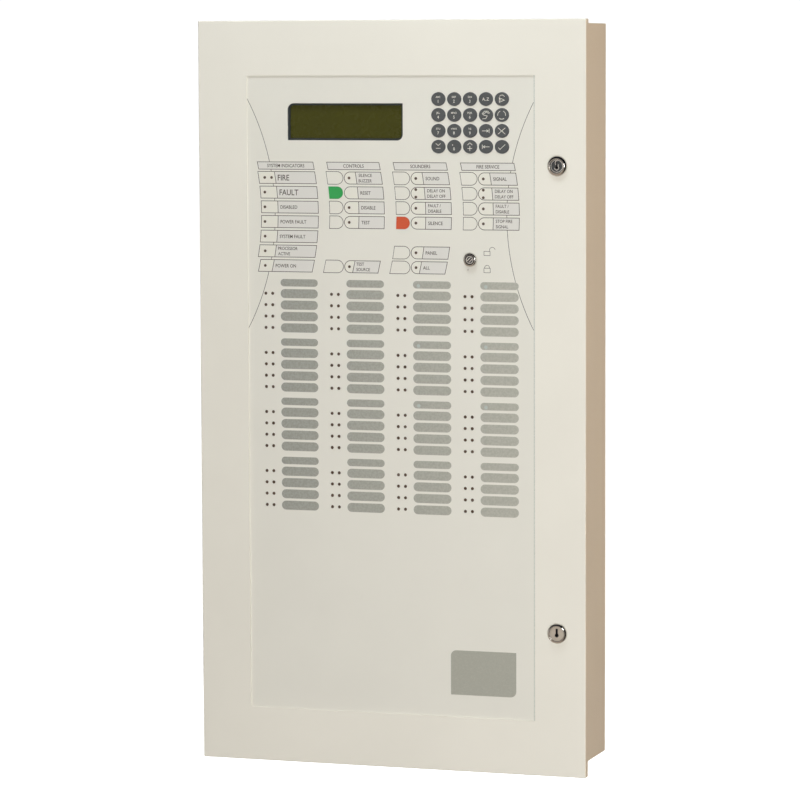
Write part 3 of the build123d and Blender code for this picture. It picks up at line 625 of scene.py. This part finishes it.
def board_rule(board_back, tops):
    """Index 0 on the board itself, 1 and up on faces whose height over it is in a range of tops."""

    def rule(middle):
        height = (-middle.y - board_back) / MM
        if -0.2 < height < BOARD_T + 0.2:
            return 0
        for index, (low, high) in enumerate(tops, start=1):
            if low < height < high:
                return index
        return 1

    return rule


board_back = -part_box("main_board")[1].y
MAIN_TOPS = ((1.8, 4.8), (12.7, 17.8), (4.8, 12.7), (17.8, 23.0))  # in the order of its finishes
SUPPLY_TOPS = ((1.8, 7.0), (7.0, 29.0), (29.0, 60.0))
DISPLAY_TOPS = ((-9.0, 9.0),)
main_rule = board_rule(board_back, MAIN_TOPS)
supply_rule = board_rule(board_back, SUPPLY_TOPS)
dress(["main_board"], "board", "black", "blue", "black", "zinc", rule=main_rule)
dress(["power_supply"], "board", "black", "steel", "black", rule=supply_rule)
display_back = -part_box("display_board")[1].y
display_rule = board_rule(display_back + REAR_PART_T * MM, DISPLAY_TOPS)
dress(["display_board"], "board", "black", rule=display_rule)
dress(["terminal_blocks"], "terminal")
dress(["batteries"], "battery")

# ---- printed cells, lines and words of the indicator and control groups --------------------
DELAY_WORDS = ("DELAY ON", "DELAY OFF")
FAULT_WORDS = ("FAULT /", "DISABLE")
controls = {
    0: ("SILENCE", "BUZZER"),
    1: ("RESET",),
    2: ("DISABLE",),
    3: ("TEST",),
    6: ("TEST", "SOURCE"),
}
sounders = {
    0: ("SOUND",),
    1: DELAY_WORDS,
    2: FAULT_WORDS,
    3: ("SILENCE",),
    5: ("PANEL",),
    6: ("ALL",),
}
fire_service = {0: ("SIGNAL",), 1: DELAY_WORDS, 2: FAULT_WORDS, 3: ("STOP FIRE", "SIGNAL")}
groups = (
    # header of each column, and the words of its rows
    ("CONTROLS", controls),
    ("SOUNDERS", sounders),
    ("FIRE SERVICE", fire_service),
)
indicator_words = (
    ("FIRE",),
    ("FAULT",),
    ("DISABLED",),
    ("POWER FAULT",),
    ("SYSTEM FAULT",),
    ("PROCESSOR", "ACTIVE"),
    ("POWER ON",),
)
COLOURED_BUTTONS = (("RESET",), ("SILENCE",))
RIM_W = 0.65
WORD_CAP = 3.8
DOUBLE_CAP = 3.5
LARGE_CAP = 6.4
WORD_INSET = 3.0
DOUBLE_PITCH = 6.1
HEADER_SHIFT = 1.6
HEADER_END_INSET = 1.5
HEADER_START_INSET = 1.0  # only on the columns of buttons
LONG_ARC_W = 0.6
WINDOW_W = 342.0  # of the window in the door


def side_points(apex, z, half, shift=0.0, steps=4):
    """Points down a slanted edge, from the top of a row to its bottom."""
    heights = [z + half - 2 * half * i / steps for i in range(steps + 1)]
    return [(slant(apex, h) + shift, h) for h in heights]


lines, text_cells, lamp_cells, words = (bmesh.new() for _ in range(4))


def add_words(rows, x, z, cap):
    """One or two lines of words that start at x."""
    if len(rows) == 1:
        lettering(words, rows[0], x, z, cap)
        return
    for row, side in zip(rows, (1, -1)):
        middle = z + side * DOUBLE_PITCH / 2
        lettering(words, row, x, middle, DOUBLE_CAP)


def add_row(left, divider, right, z, rows, cap=WORD_CAP):
    """One indicator box: outline, divider, tinted cells and words."""
    half = ROW_H / 2
    end = side_points(right, z, half)
    middle = side_points(divider, z, half)
    stroke(lines, [*left, *reversed(end)], LINE_W, closed=True)
    stroke(lines, middle, LINE_W)
    prism(lamp_cells, [*left, *reversed(middle)], 0.0, FILL_T)
    prism(text_cells, [*middle, *reversed(end)], 0.0, FILL_T)
    add_words(rows, slant(divider, z) + WORD_INSET, z, cap)


def add_header(apex, end, text):
    """Header box over a column, with its two slanted ends."""
    half = HEADER_H / 2
    left = side_points(apex, HEADER_Z, half, HEADER_SHIFT, 2)
    right = side_points(end, HEADER_Z, half, HEADER_SHIFT, 2)
    outline = [*left, *reversed(right)]
    stroke(lines, outline, LINE_W, closed=True)
    prism(text_cells, outline, 0.0, FILL_T)
    middle = (left[1][0] + right[1][0]) / 2
    lettering(words, text, middle, HEADER_Z, WORD_CAP, align="middle")


add_header(INDICATOR_APEX, INDICATOR_END - HEADER_END_INSET, "SYSTEM INDICATORS")
for row, text in enumerate(indicator_words):
    z = row_z(row)
    inset = LAST_ROW_INSET if row == len(indicator_words) - 1 else 0.0
    left = side_points(INDICATOR_APEX, z, ROW_H / 2, inset)
    cap = LARGE_CAP if row < 2 else WORD_CAP
    add_row(left, INDICATOR_DIVIDER, INDICATOR_END, z, text, cap)

for column, (header, rows) in enumerate(groups):
    apex = BUTTON_APEX + column * COLUMN_PITCH
    add_header(apex + HEADER_START_INSET, apex + END_FROM_APEX - HEADER_END_INSET, header)
    for row, text in rows.items():
        z = row_z(row)
        half = ROW_H / 2
        turn = apex + CELL_FROM_APEX + half
        left = arc(turn, z, half, 90, 270, 14)
        add_row(left, apex + DIVIDER_FROM_APEX, apex + END_FROM_APEX, z, text)
        if text not in COLOURED_BUTTONS:
            reach = half + RIM_GAP
            round_end = arc(apex + BUTTON_W - half, z, reach, 90, -90, 14)
            slanted = side_points(apex - RIM_GAP, z, reach)
            stroke(lines, [*round_end, *reversed(slanted)], RIM_W, closed=True)

for side in (-1, 1):
    # The long arc runs in from the window's edge and back, lower than the cells that cover it
    edge = WINDOW_W / 2 + 0.6
    reach = math.degrees(math.acos((LONG_ARC_X - edge) / ARC_R))
    middle = 0 if side < 0 else 180
    points = arc(side * LONG_ARC_X, ARC_Z, ARC_R, middle - reach, middle + reach, 64)
    stroke(lines, points, LONG_ARC_W, front=FILL_T * 0.6)

piece_from(lines, "panel_lines", materials["dark_ink"], "door")
piece_from(text_cells, "text_cells", materials["text_cell"], "door")
piece_from(lamp_cells, "lamp_cells", materials["lamp_cell"], "door")
piece_from(words, "panel_words", materials["dark_ink"], "door")


# ---- keypad legends ------------------------------------------------------------------------
LEGEND_W = 0.6
LETTER_CAP = 2.0
DIGIT_CAP = 3.2
LETTERS_Z = 2.3
DIGIT_Z = -2.4
letters = dict(zip("123456789", ("ABC", "DEF", "GHI", "JKL", "MNO", "PQR", "STU", "VWX", "YZ")))


def key_place(node):
    """Function that puts a millimetre point on a key's front, measured from the key's centre."""
    low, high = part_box(node)
    middle = (low + high) / 2

    def place(x, z, rise=0.0):
        return Vector((middle.x + x * MM, low.y - rise * MM, middle.z + z * MM))

    return place


def key_icon(name):
    """Strokes of a key's symbol, each a list of points from the key's centre."""
    arrow = [[(-4.4, 0), (2.4, 0)], [(0.9, 1.3), (3.1, 0), (0.9, -1.3)], [(4.0, 2.4), (4.0, -2.4)]]
    icons = {
        "tab": arrow,
        "back": [[(-x, z) for x, z in line] for line in arrow],
        "cancel": [[(-4.2, 3.5), (4.2, -3.5)], [(-4.2, -3.5), (4.2, 3.5)]],
        "enter": [[(-3.8, -0.8), (-2.0, -2.9), (4.0, 2.6)]],
        "down": [[(-2.8, 3.6), (0, 1.2), (2.8, 3.6)], [(-2.7, -1.9), (2.7, -1.9)]],
        "up": [[(-2.8, 1.9), (0, 4.4), (2.8, 1.9)], [(-2.7, -1.9), (2.7, -1.9)], [(0, 0.8), (0, -4.6)]],
        "reload": [arc(0, 0, 4.6, start, start + 78, 8) for start in (112, -10, 230)],
        "bell": [
            [(-2.6, 1.4), (-2.6, -3.6), (3.2, -1.2), (-2.6, 1.4), (-0.6, -2.0)],
            arc(0.4, 1.2, 3.3, 25, 150, 8),
        ],
        "lamp": [
            [
                *((4.8, 1.8), (2.6, 4.2), (-1.4, 4.2), (-4.2, 1.4)),
                *((-2.4, 0.0), (1.9, -1.2), (0.0, -4.0), (-3.8, -4.3)),
            ],
            [(-3.0, 1.0), (0.8, 3.4), (3.4, 1.6)],
        ],
    }
    return icons.get(name, [])


for node in key_nodes:
    name = node[4:]
    place = key_place(node)
    legend = bmesh.new()
    for line in key_icon(name):
        stroke(legend, line, LEGEND_W, place=place)
    if name in letters:
        lettering(legend, letters[name], 0, LETTERS_Z, LETTER_CAP, 1.0, "middle", place=place)
    if name.isdigit():
        lettering(legend, name, 0, DIGIT_Z, DIGIT_CAP, 0.9, "middle", place=place)
    if name == "0":
        prism(legend, arc(-1.7, 1.9, 0.6, 0, 330, 11), 0.0, PRINT_T, place)
    if name == "letters":
        lettering(legend, "A..Z", 0, 0, 3.3, 0.95, "middle", place=place)
    piece_from(legend, f"legend_{name}", materials["light_ink"], node)


# ---- display: glass and its dark printed border ----------------------------------------------
lcd_low, lcd_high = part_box("lcd_module")
LCD_X = (lcd_low.x + lcd_high.x) / 2 / MM
LCD_Z = ((lcd_low.z + lcd_high.z) / 2 - DOOR_Z) / MM
LCD_OPENING = (137.8, 41.8)
LCD_VIEW = (133.4, 37.4)
LCD_CORNER = 7.0
window_rise = (PANEL_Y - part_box("lcd_window")[0].y) / MM

BORDER_T = 0.06
BORDER_TRIM = 0.15  # keeps the border clear of the edge of the window's opening

border = bmesh.new()
border_w = (LCD_OPENING[0] - LCD_VIEW[0]) / 2
opening = [size - BORDER_TRIM for size in LCD_OPENING]
inner_corner = LCD_CORNER - border_w
outer = rounded_box(LCD_X, LCD_Z, *opening, (0.3, LCD_CORNER, 0.3, LCD_CORNER))
inner = rounded_box(LCD_X, LCD_Z, *LCD_VIEW, (0.3, inner_corner, 0.3, inner_corner))
rings = []
for outline in (outer, inner):
    back = [border.verts.new(on_panel(x, z, window_rise)) for x, z in outline]
    front = [border.verts.new(on_panel(x, z, window_rise + BORDER_T)) for x, z in outline]
    rings.append((back, front))
(outer_back, outer_front), (inner_back, inner_front) = rings
count = len(outer)
for i in range(count):
    j = (i + 1) % count
    border.faces.new((outer_front[i], outer_front[j], inner_front[j], inner_front[i]))
    border.faces.new((outer_back[j], outer_back[i], inner_back[i], inner_back[j]))
    border.faces.new((outer_back[i], outer_back[j], outer_front[j], outer_front[i]))
    border.faces.new((inner_back[j], inner_back[i], inner_front[i], inner_front[j]))
piece_from(border, "display_border", materials["border"], "door")

glass = bmesh.new()
view_rise = (PANEL_Y - lcd_low.y) / MM
glass_w, glass_h = (size - 0.4 for size in LCD_VIEW)
outline = rounded_box(LCD_X, LCD_Z, glass_w, glass_h, (0.5,) * 4)
prism(glass, outline, view_rise - 0.55, view_rise - 0.1)
piece_from(glass, "display_glass", materials["display"], "door")

# ---- zone label films: round-ended, with a stuck spot on the headers of the right columns -------------
ZONE_X, ZONE_TOP = -109.35, 127.4
ZONE_GROUP_PITCH, ZONE_FIRST, ZONE_PITCH = 67.9, 12.4, 13.05
ZONE_W, ZONE_H, ZONE_HEADER_H, ZONE_CORNER = 45.0, 10.3, 8.4, 4.0
SPOT_LEFT, SPOT_DROP, SPOT_R = 16.0, 1.2, 2.1  # of a spot, from the middle of its header window
surrounds, films, spots = (bmesh.new() for _ in range(3))
for column in range(4):
    for group in range(4):
        x = ZONE_X + column * COLUMN_PITCH
        top = ZONE_TOP - group * ZONE_GROUP_PITCH
        windows = [(top, ZONE_HEADER_H)]
        windows += [(top - ZONE_FIRST - line * ZONE_PITCH, ZONE_H) for line in range(4)]
        for z, h in windows:
            surround = rounded_box(x, z, ZONE_W + 0.3, h + 0.3, (ZONE_CORNER,) * 4)
            prism(surrounds, surround, 0.0, 0.03)
            prism(films, rounded_box(x, z, ZONE_W, h, (h / 2 - 0.05,) * 4), 0.01, 0.06)
        if column > 1 and group < 3:
            prism(spots, arc(x - SPOT_LEFT, top - SPOT_DROP, SPOT_R, 0, 337.5, 15), 0.05, 0.09)
piece_from(surrounds, "label_surrounds", materials["overlay"], "door")
piece_from(films, "label_films", materials["label"], "door")
piece_from(spots, "label_spots", materials["label_spot"], "door")

# ---- painted shade: a dark strip along the right edge of the overlay, where its step throws shade ------
GAP_LEFT, GAP_RIGHT, GAP_Z = 169.0, 170.9, 362.8
edge_shade_strip = bmesh.new()
outline = [(GAP_LEFT, -GAP_Z), (GAP_RIGHT, -GAP_Z), (GAP_RIGHT, GAP_Z), (GAP_LEFT, GAP_Z)]
# painted shade: an ink strip standing for the shade of the window's step on the overlay
prism(edge_shade_strip, outline, 0.0, PRINT_T)
piece_from(edge_shade_strip, "overlay_edge", materials["edge_shade"], "door")

# ---- rating label and the padlock symbols of the key switch -------------------------------------
LABEL_X, LABEL_Z, LABEL_W, LABEL_H = 109.7, -312.0, 77.3, 50.8
label = bmesh.new()
prism(label, rounded_box(LABEL_X, LABEL_Z, LABEL_W, LABEL_H, (0, 6.5, 0, 6.5)), 0.0, 0.18)
piece_from(label, "rating_label", materials["rating"], "door")

ICON_W = 0.5
PADLOCK_BODIES = ((114.65, 163.8, 7.1, 4.6), (114.7, 144.7, 7.4, 5.0))  # the open one, then the shut one
OPEN_SHACKLE = [(117.6, 166.1), *arc(120.9, 167.3, 3.4, 160, 15, 8)]
SHUT_SHACKLE = [(112.0, 147.2), *arc(114.7, 147.6, 2.9, 165, 15, 10), (117.4, 147.2)]
SWITCH_TICK = [(92.3, 146.2), (92.3, 144.2)]
icons = bmesh.new()
for body_box in PADLOCK_BODIES:
    stroke(icons, box_outline(*body_box), ICON_W, closed=True)
for points in (OPEN_SHACKLE, SHUT_SHACKLE, SWITCH_TICK):
    stroke(icons, points, ICON_W)
piece_from(icons, "padlock_symbols", materials["dark_ink"], "door")


# ---- legends, pins, screws and blank plates of the boards and batteries inside --------------------------
PIN_PITCH = 2.54
CHIP_TALLEST = 4.0  # a lower part is a chip with pins
SCREW_PITCH = 8.0  # of the screws of a terminal strip


def raised_tops(node, way):
    """Flat tops that face along way (-1 or 1 in Y), as (x0, x1, z0, z1, y, round) in millimetres."""
    bm = bmesh.new()
    bm.from_mesh(nodes[node].data)
    facing = {face for face in bm.faces if face.normal.y * way > 0.95}
    tops = []
    while facing:
        group, queue = [], [facing.pop()]
        while queue:
            face = queue.pop()
            group.append(face)
            near = {other for edge in face.edges for other in edge.link_faces} & facing
            facing -= near
            queue.extend(near)
        corners = [vertex.co / MM for face in group for vertex in face.verts]
        xs, ys, zs = ([c[k] for c in corners] for k in range(3))
        tops.append((min(xs), max(xs), min(zs), max(zs), sum(ys) / len(ys), len(group) > 20))
    bm.free()
    return sorted(tops)


def over(front, way):
    """Function that puts a millimetre point at a rise over a face at front that faces along way."""

    def place(x, z, rise=0.0):
        return Vector((x * MM, (front + way * rise) * MM, z * MM))

    return place


def slotted_head(bm, slots, x, z, radius, rise, place):
    """Screw head with a dark slot across it."""
    prism(bm, arc(x, z, radius, 0, 345, 23), rise - 0.3, rise + 0.5, place)
    prism(slots, box_outline(x, z, radius * 1.5, 0.5), rise + 0.45, rise + 0.53, place)


def pin_row(bm, x0, x1, z0, z1, place):
    """Pins along the two long sides of a chip."""
    upright = z1 - z0 > x1 - x0
    start, end = (z0, z1) if upright else (x0, x1)
    count = int((end - start) / PIN_PITCH)
    first = (start + end - (count - 1) * PIN_PITCH) / 2
    for i in range(count):
        along = first + i * PIN_PITCH
        for side in ((x0 - 0.5, x1 + 0.5) if upright else (z0 - 0.5, z1 + 0.5)):
            x, z, w, h = (side, along, 1.1, 0.6) if upright else (along, side, 0.6, 1.1)
            prism(bm, box_outline(x, z, w, h), 0.0, 1.3, place)


def dress_board(node, way, body):
    """Legends, pins and plates for the parts of one board; its own face is the widest one."""
    legend, pins, plates, slots = (bmesh.new() for _ in range(4))
    tops = raised_tops(node, way)
    board = max(tops, key=lambda top: (top[1] - top[0]) * (top[3] - top[2]))
    place = over(board[4], way)
    for x0, x1, z0, z1, y, is_round in tops:
        rise = (y - board[4]) * way
        x, z, w, h = (x0 + x1) / 2, (z0 + z1) / 2, x1 - x0, z1 - z0
        if rise < 1.0 or min(w, h) < 6.0:
            continue
        if is_round:
            stroke(legend, arc(x, z, w / 2 + 1.2, 0, 348, 29), 0.35, front=0.05, closed=True, place=place)
            for turn in (45, 135):
                stroke(slots, arc(x, z, w * 0.3, turn, turn + 180, 1), 0.5, rise, rise + 0.06, place=place)
            continue
        room = 2.4 if rise < CHIP_TALLEST else 1.2
        outline = box_outline(x, z, w + 2 * room, h + 2 * room)
        stroke(legend, outline, 0.35, front=0.05, closed=True, place=place)
        if rise < CHIP_TALLEST:
            pin_row(pins, x0, x1, z0, z1, place)
            prism(legend, arc(x0 + 1.8, z1 - 1.8, 0.55, 0, 330, 11), rise, rise + 0.05, place)
        elif w > 3 * h:
            for i in range(int(w / SCREW_PITCH)):
                slotted_head(pins, slots, x0 + 5 + i * SCREW_PITCH, z, 2.6, rise, place)
        else:
            prism(plates, rounded_box(x, z, w - 4, h * 0.55, (0.8,) * 4), rise, rise + 0.08, place)
    dressing = (
        (legend, "legend", "silk"),
        (pins, "pins", "tin"),
        (plates, "plates", "plate"),
        (slots, "marks", "black"),
    )
    for bm, part, finish_name in dressing:
        if bm.verts:
            piece_from(bm, f"{node}_{part}", materials[finish_name], body)
        else:
            bm.free()


dress_board("main_board", -1, "box")
dress_board("power_supply", -1, "box")
dress_board("display_board", 1, "door")

heads, slots = bmesh.new(), bmesh.new()
for x0, x1, z0, z1, y, is_round in raised_tops("terminal_blocks", -1):
    if is_round and x1 - x0 < 5:
        slotted_head(heads, slots, (x0 + x1) / 2, (z0 + z1) / 2, 1.8, 0.0, over(y, -1))
piece_from(heads, "terminal_screws", materials["tin"], "box")
piece_from(slots, "terminal_slots", materials["black"], "box")

strap_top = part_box("battery_clamp")[1].z / MM
plates = bmesh.new()
for x0, x1, z0, z1, y, _ in raised_tops("batteries", -1):
    if x1 - x0 > 100 and z1 - strap_top > 20:
        x, z = (x0 + x1) / 2, (strap_top + z1) / 2
        outline = rounded_box(x, z, x1 - x0 - 40, z1 - strap_top - 12, (1.5,) * 4)
        prism(plates, outline, 0.0, 0.15, over(y, -1))
piece_from(plates, "battery_plates", materials["plate"], "box")

# ---- trims of the locks and of the key switch -----------------------------------------------------
def core_place(node):
    """Function that puts a millimetre point on the front of a turning core."""
    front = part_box(node)[0].y
    (x0, z0), _, _ = CORES[node]

    def place(x, z, rise=0.0):
        return Vector(((x0 + x) * MM, front - rise * MM, DOOR_Z + (z0 + z) * MM))

    return place


def bezel(name, node, profile, finish_name):
    """Turned ring seated on a lock's head; rises are from the front of its core."""
    bm = bmesh.new()
    lathe(bm, profile, core_place(node))
    piece_from(bm, name, materials[finish_name], "door", smooth=True)


# Outlines of (radius, rise) from the front of the core; both locks share the domed outer part
CROWN = [
    *((9.2, 1.3), (10.1, 0.85), (10.8, 0.25), (11.35, -0.4)),
    *((11.6, -1.2), (11.65, -2.4), (10.6, -2.4), (8.8, 0.5)),
]
UPPER_BEZEL = [(7.3, 0.5), (7.3, 0.75), (7.9, 1.5), (8.2, 1.62), *CROWN]
LOWER_BEZEL = [(8.2, 0.6), (8.2, 0.9), (8.6, 1.4), *CROWN]
LOWER_FACE = [(7.25, 0.3), (7.25, 0.74), (8.15, 0.74), (8.15, 0.3)]
SWITCH_WELL = [(4.5, 0.6), (4.5, 0.92), (5.5, 0.98), (5.7, 0.9), (5.7, 0.6)]
bezel("upper_lock_bezel", "upper_lock_core", UPPER_BEZEL, "chrome")
bezel("lower_lock_bezel", "lower_lock_core", LOWER_BEZEL, "chrome")
bezel("lower_lock_face", "lower_lock_core", LOWER_FACE, "core_bright")
# painted shade: the recessed well round the key switch core is near black
bezel("key_switch_well_painted_shade", "key_switch_core", SWITCH_WELL, "keyway")

# painted highlight: light beige strokes and a ring on the worn edges of the upper keyway
edges = bmesh.new()
place = core_place("upper_lock_core")
upper_edge = [(0.8, 5.9), (-0.8, 5.7), (-1.7, 4.6), (-1.8, 3.0), (-1.0, 1.2)]
lower_edge = [(1.9, 2.0), (1.6, 0.4), (2.4, -1.6), (1.7, -3.5), (0.0, -4.5), (-1.8, -3.7), (-2.6, -2.2)]
for points in (upper_edge, lower_edge):
    stroke(edges, points, 0.6, 0.0, 0.12, place=place)
lathe(edges, [(6.5, 0.0), (6.5, 0.1), (6.9, 0.1), (6.9, 0.0)], place)
piece_from(edges, "upper_keyway_edge_highlights", materials["key_edge_wear_and_highlight"], "upper_lock")

# painted shade: a near-black rim round the lower keyhole makes the hole's shade look wider
rim = bmesh.new()
keyhole = [(1.05, -0.3), (1.05, 5.5), (-1.05, 5.5), (-1.05, -0.3), *arc(0, -1.8, 2.05, 135, 405, 20)]
stroke(rim, keyhole, 0.5, 0.0, 0.06, closed=True, place=core_place("lower_lock_core"))
piece_from(rim, "lower_keyhole_painted_shade", materials["keyway"], "lower_lock")

# painted highlight: light beige lines along the slot and a ring round the worn edge of the key switch core
edges = bmesh.new()
place = core_place("key_switch_core")
slot_way = Vector((1, 1)).normalized()
slot_side = Vector((-slot_way.y, slot_way.x))
for side in (-1, 1):
    middle = slot_side * side * 1.3
    stroke(edges, [middle - slot_way * 2.8, middle + slot_way * 2.8], 0.8, 0.0, 0.15, place=place)
lathe(edges, [(3.6, 0.0), (3.6, 0.2), (3.9, 0.3), (4.3, 0.1), (4.3, 0.0)], place)
piece_from(edges, "key_switch_edge_highlights", materials["key_edge_wear_and_highlight"], "key_switch")


# ---- studio -----------------------------------------------------------------------------------
FLOOR_DROP = 0.45  # the panel hangs this high over the floor


def studio():
    """Pale floor under the hung panel, a bright surround and soft lights."""
    world = bpy.data.worlds.new("studio")
    bpy.context.scene.world = world
    world.use_nodes = True
    tree = world.node_tree
    new, link = tree.nodes.new, tree.links.new
    backdrop = tree.nodes["Background"]
    backdrop.inputs["Color"].default_value = (1, 1, 1, 1)
    backdrop.inputs["Strength"].default_value = 1.05
    fill = new("ShaderNodeBackground")
    fill.inputs["Color"].default_value = (1.0, 0.82, 0.62, 1)
    fill.inputs["Strength"].default_value = 0.12
    # Shiny metal sees a dark ceiling, a dark right wall and a tan lower half of the room
    direction = new("ShaderNodeSeparateXYZ")
    link(new("ShaderNodeTexCoord").outputs["Generated"], direction.inputs["Vector"])
    ramp = new("ShaderNodeValToRGB")
    ramp.color_ramp.elements[0].position = 0.3
    ramp.color_ramp.elements[0].color = (0.42, 0.35, 0.29, 1)
    ramp.color_ramp.elements[1].position = 0.66
    ramp.color_ramp.elements[1].color = (0.025, 0.025, 0.03, 1)
    middle = ramp.color_ramp.elements.new(0.52)
    middle.color = (0.5, 0.48, 0.45, 1)
    height = new("ShaderNodeMapRange")
    height.inputs["From Min"].default_value = -1.0
    link(direction.outputs["Z"], height.inputs["Value"])
    link(height.outputs["Result"], ramp.inputs["Fac"])
    room = new("ShaderNodeBackground")
    side = new("ShaderNodeMapRange")
    numbers = (0.1, 0.6, 1.0, 0.1)
    for socket, number in zip(("From Min", "From Max", "To Min", "To Max"), numbers):
        side.inputs[socket].default_value = number
    link(direction.outputs["X"], side.inputs["Value"])
    link(ramp.outputs["Color"], room.inputs["Color"])
    link(side.outputs["Result"], room.inputs["Strength"])
    ray = new("ShaderNodeLightPath")
    reflected, seen = new("ShaderNodeMixShader"), new("ShaderNodeMixShader")
    link(ray.outputs["Is Glossy Ray"], reflected.inputs["Fac"])
    link(fill.outputs[0], reflected.inputs[1])
    link(room.outputs[0], reflected.inputs[2])
    link(ray.outputs["Is Camera Ray"], seen.inputs["Fac"])
    link(reflected.outputs[0], seen.inputs[1])
    link(backdrop.outputs[0], seen.inputs[2])
    link(seen.outputs[0], tree.nodes["World Output"].inputs["Surface"])

    floor_z = cad_bounds[0][2] - FLOOR_DROP
    floor_bm = bmesh.new()
    bmesh.ops.create_grid(floor_bm, x_segments=8, y_segments=8, size=40)
    floor_mesh = bpy.data.meshes.new("floor")
    floor_bm.to_mesh(floor_mesh)
    floor_bm.free()
    floor = bpy.data.objects.new("floor", floor_mesh)
    floor.location.z = floor_z
    bpy.context.scene.collection.objects.link(floor)
    finish = Finish("studio_floor", roughness=0.9)
    finish.colour(finish.mottled((0.86, 0.86, 0.85, 1), (0.88, 0.88, 0.87, 1), 900.0))
    finish.shader.inputs["Emission Color"].default_value = (1, 1, 1, 1)
    finish.shader.inputs["Emission Strength"].default_value = 1.02
    floor_mesh.materials.append(finish.material)
    floor.visible_diffuse = False
    floor.visible_glossy = False

    def softbox(name, place, aim, size, power, colour=(1, 1, 1), shine=False):
        light = bpy.data.lights.new(name, "AREA")
        light.shape = "RECTANGLE"
        light.size, light.size_y = size
        light.energy = power
        light.color = colour
        lamp = bpy.data.objects.new(name, light)
        lamp.location = place
        lamp.rotation_euler = (Vector(aim) - Vector(place)).to_track_quat("-Z", "Y").to_euler()
        lamp.visible_camera = False
        lamp.visible_glossy = shine
        lamp.visible_diffuse = not shine
        bpy.context.scene.collection.objects.link(lamp)

    softbox("key", (0.8, -2.2, -0.3), (0, 0, 0), (0.8, 0.8), 37.5)
    softbox("upper_front", (0, -0.6, 1.4), (0, 0, 0), (0.5, 0.3), 7.8, (1.0, 1.08, 1.13))
    softbox("glint", (0.8, -1.6, 0.33), (0.05, 0, 0.05), (0.3, 0.5), 5, (1.0, 1.0, 1.0), True)
    softbox("warm_side", (2.5, 0.2, 0.7), (0.2, 0, 0.1), (1.2, 1.2), 21, (1.0, 0.70, 0.45))
    softbox("top_light", (0, 0.4, 2.4), (0, 0, 0), (1.6, 1.6), 21)
    softbox("back_fill", (-1.0, 2.8, 0.8), (0, 0, 0), (1.8, 1.8), 42)
    softbox("left_fill", (-2.4, 0.8, 0.3), (-0.2, 0, 0), (1.4, 1.8), 16)


studio()

# ---- camera a little right of the panel and above it, fitted to the photograph ------------------
CAMERA_AT = (1.390, -4.2115, 0.380)
CAMERA_TURN, CAMERA_DOWN, CAMERA_ROLL = 18.49, 5.12, -0.21  # degrees
CAMERA_LENS = 173.5
camera_data = bpy.data.cameras.new("camera")
camera_data.sensor_width = 36.0
camera_data.lens = CAMERA_LENS
camera_data.clip_end = 200.0
camera = bpy.data.objects.new("camera", camera_data)
turn = Matrix.Rotation(math.radians(CAMERA_TURN), 4, "Z")
tilt = Matrix.Rotation(math.radians(90 - CAMERA_DOWN), 4, "X")
roll = Matrix.Rotation(math.radians(CAMERA_ROLL), 4, "Z")
camera.matrix_world = Matrix.Translation(CAMERA_AT) @ turn @ tilt @ roll
bpy.context.scene.collection.objects.link(camera)
bpy.context.scene.camera = camera
bpy.context.scene.view_settings.view_transform = "Standard"
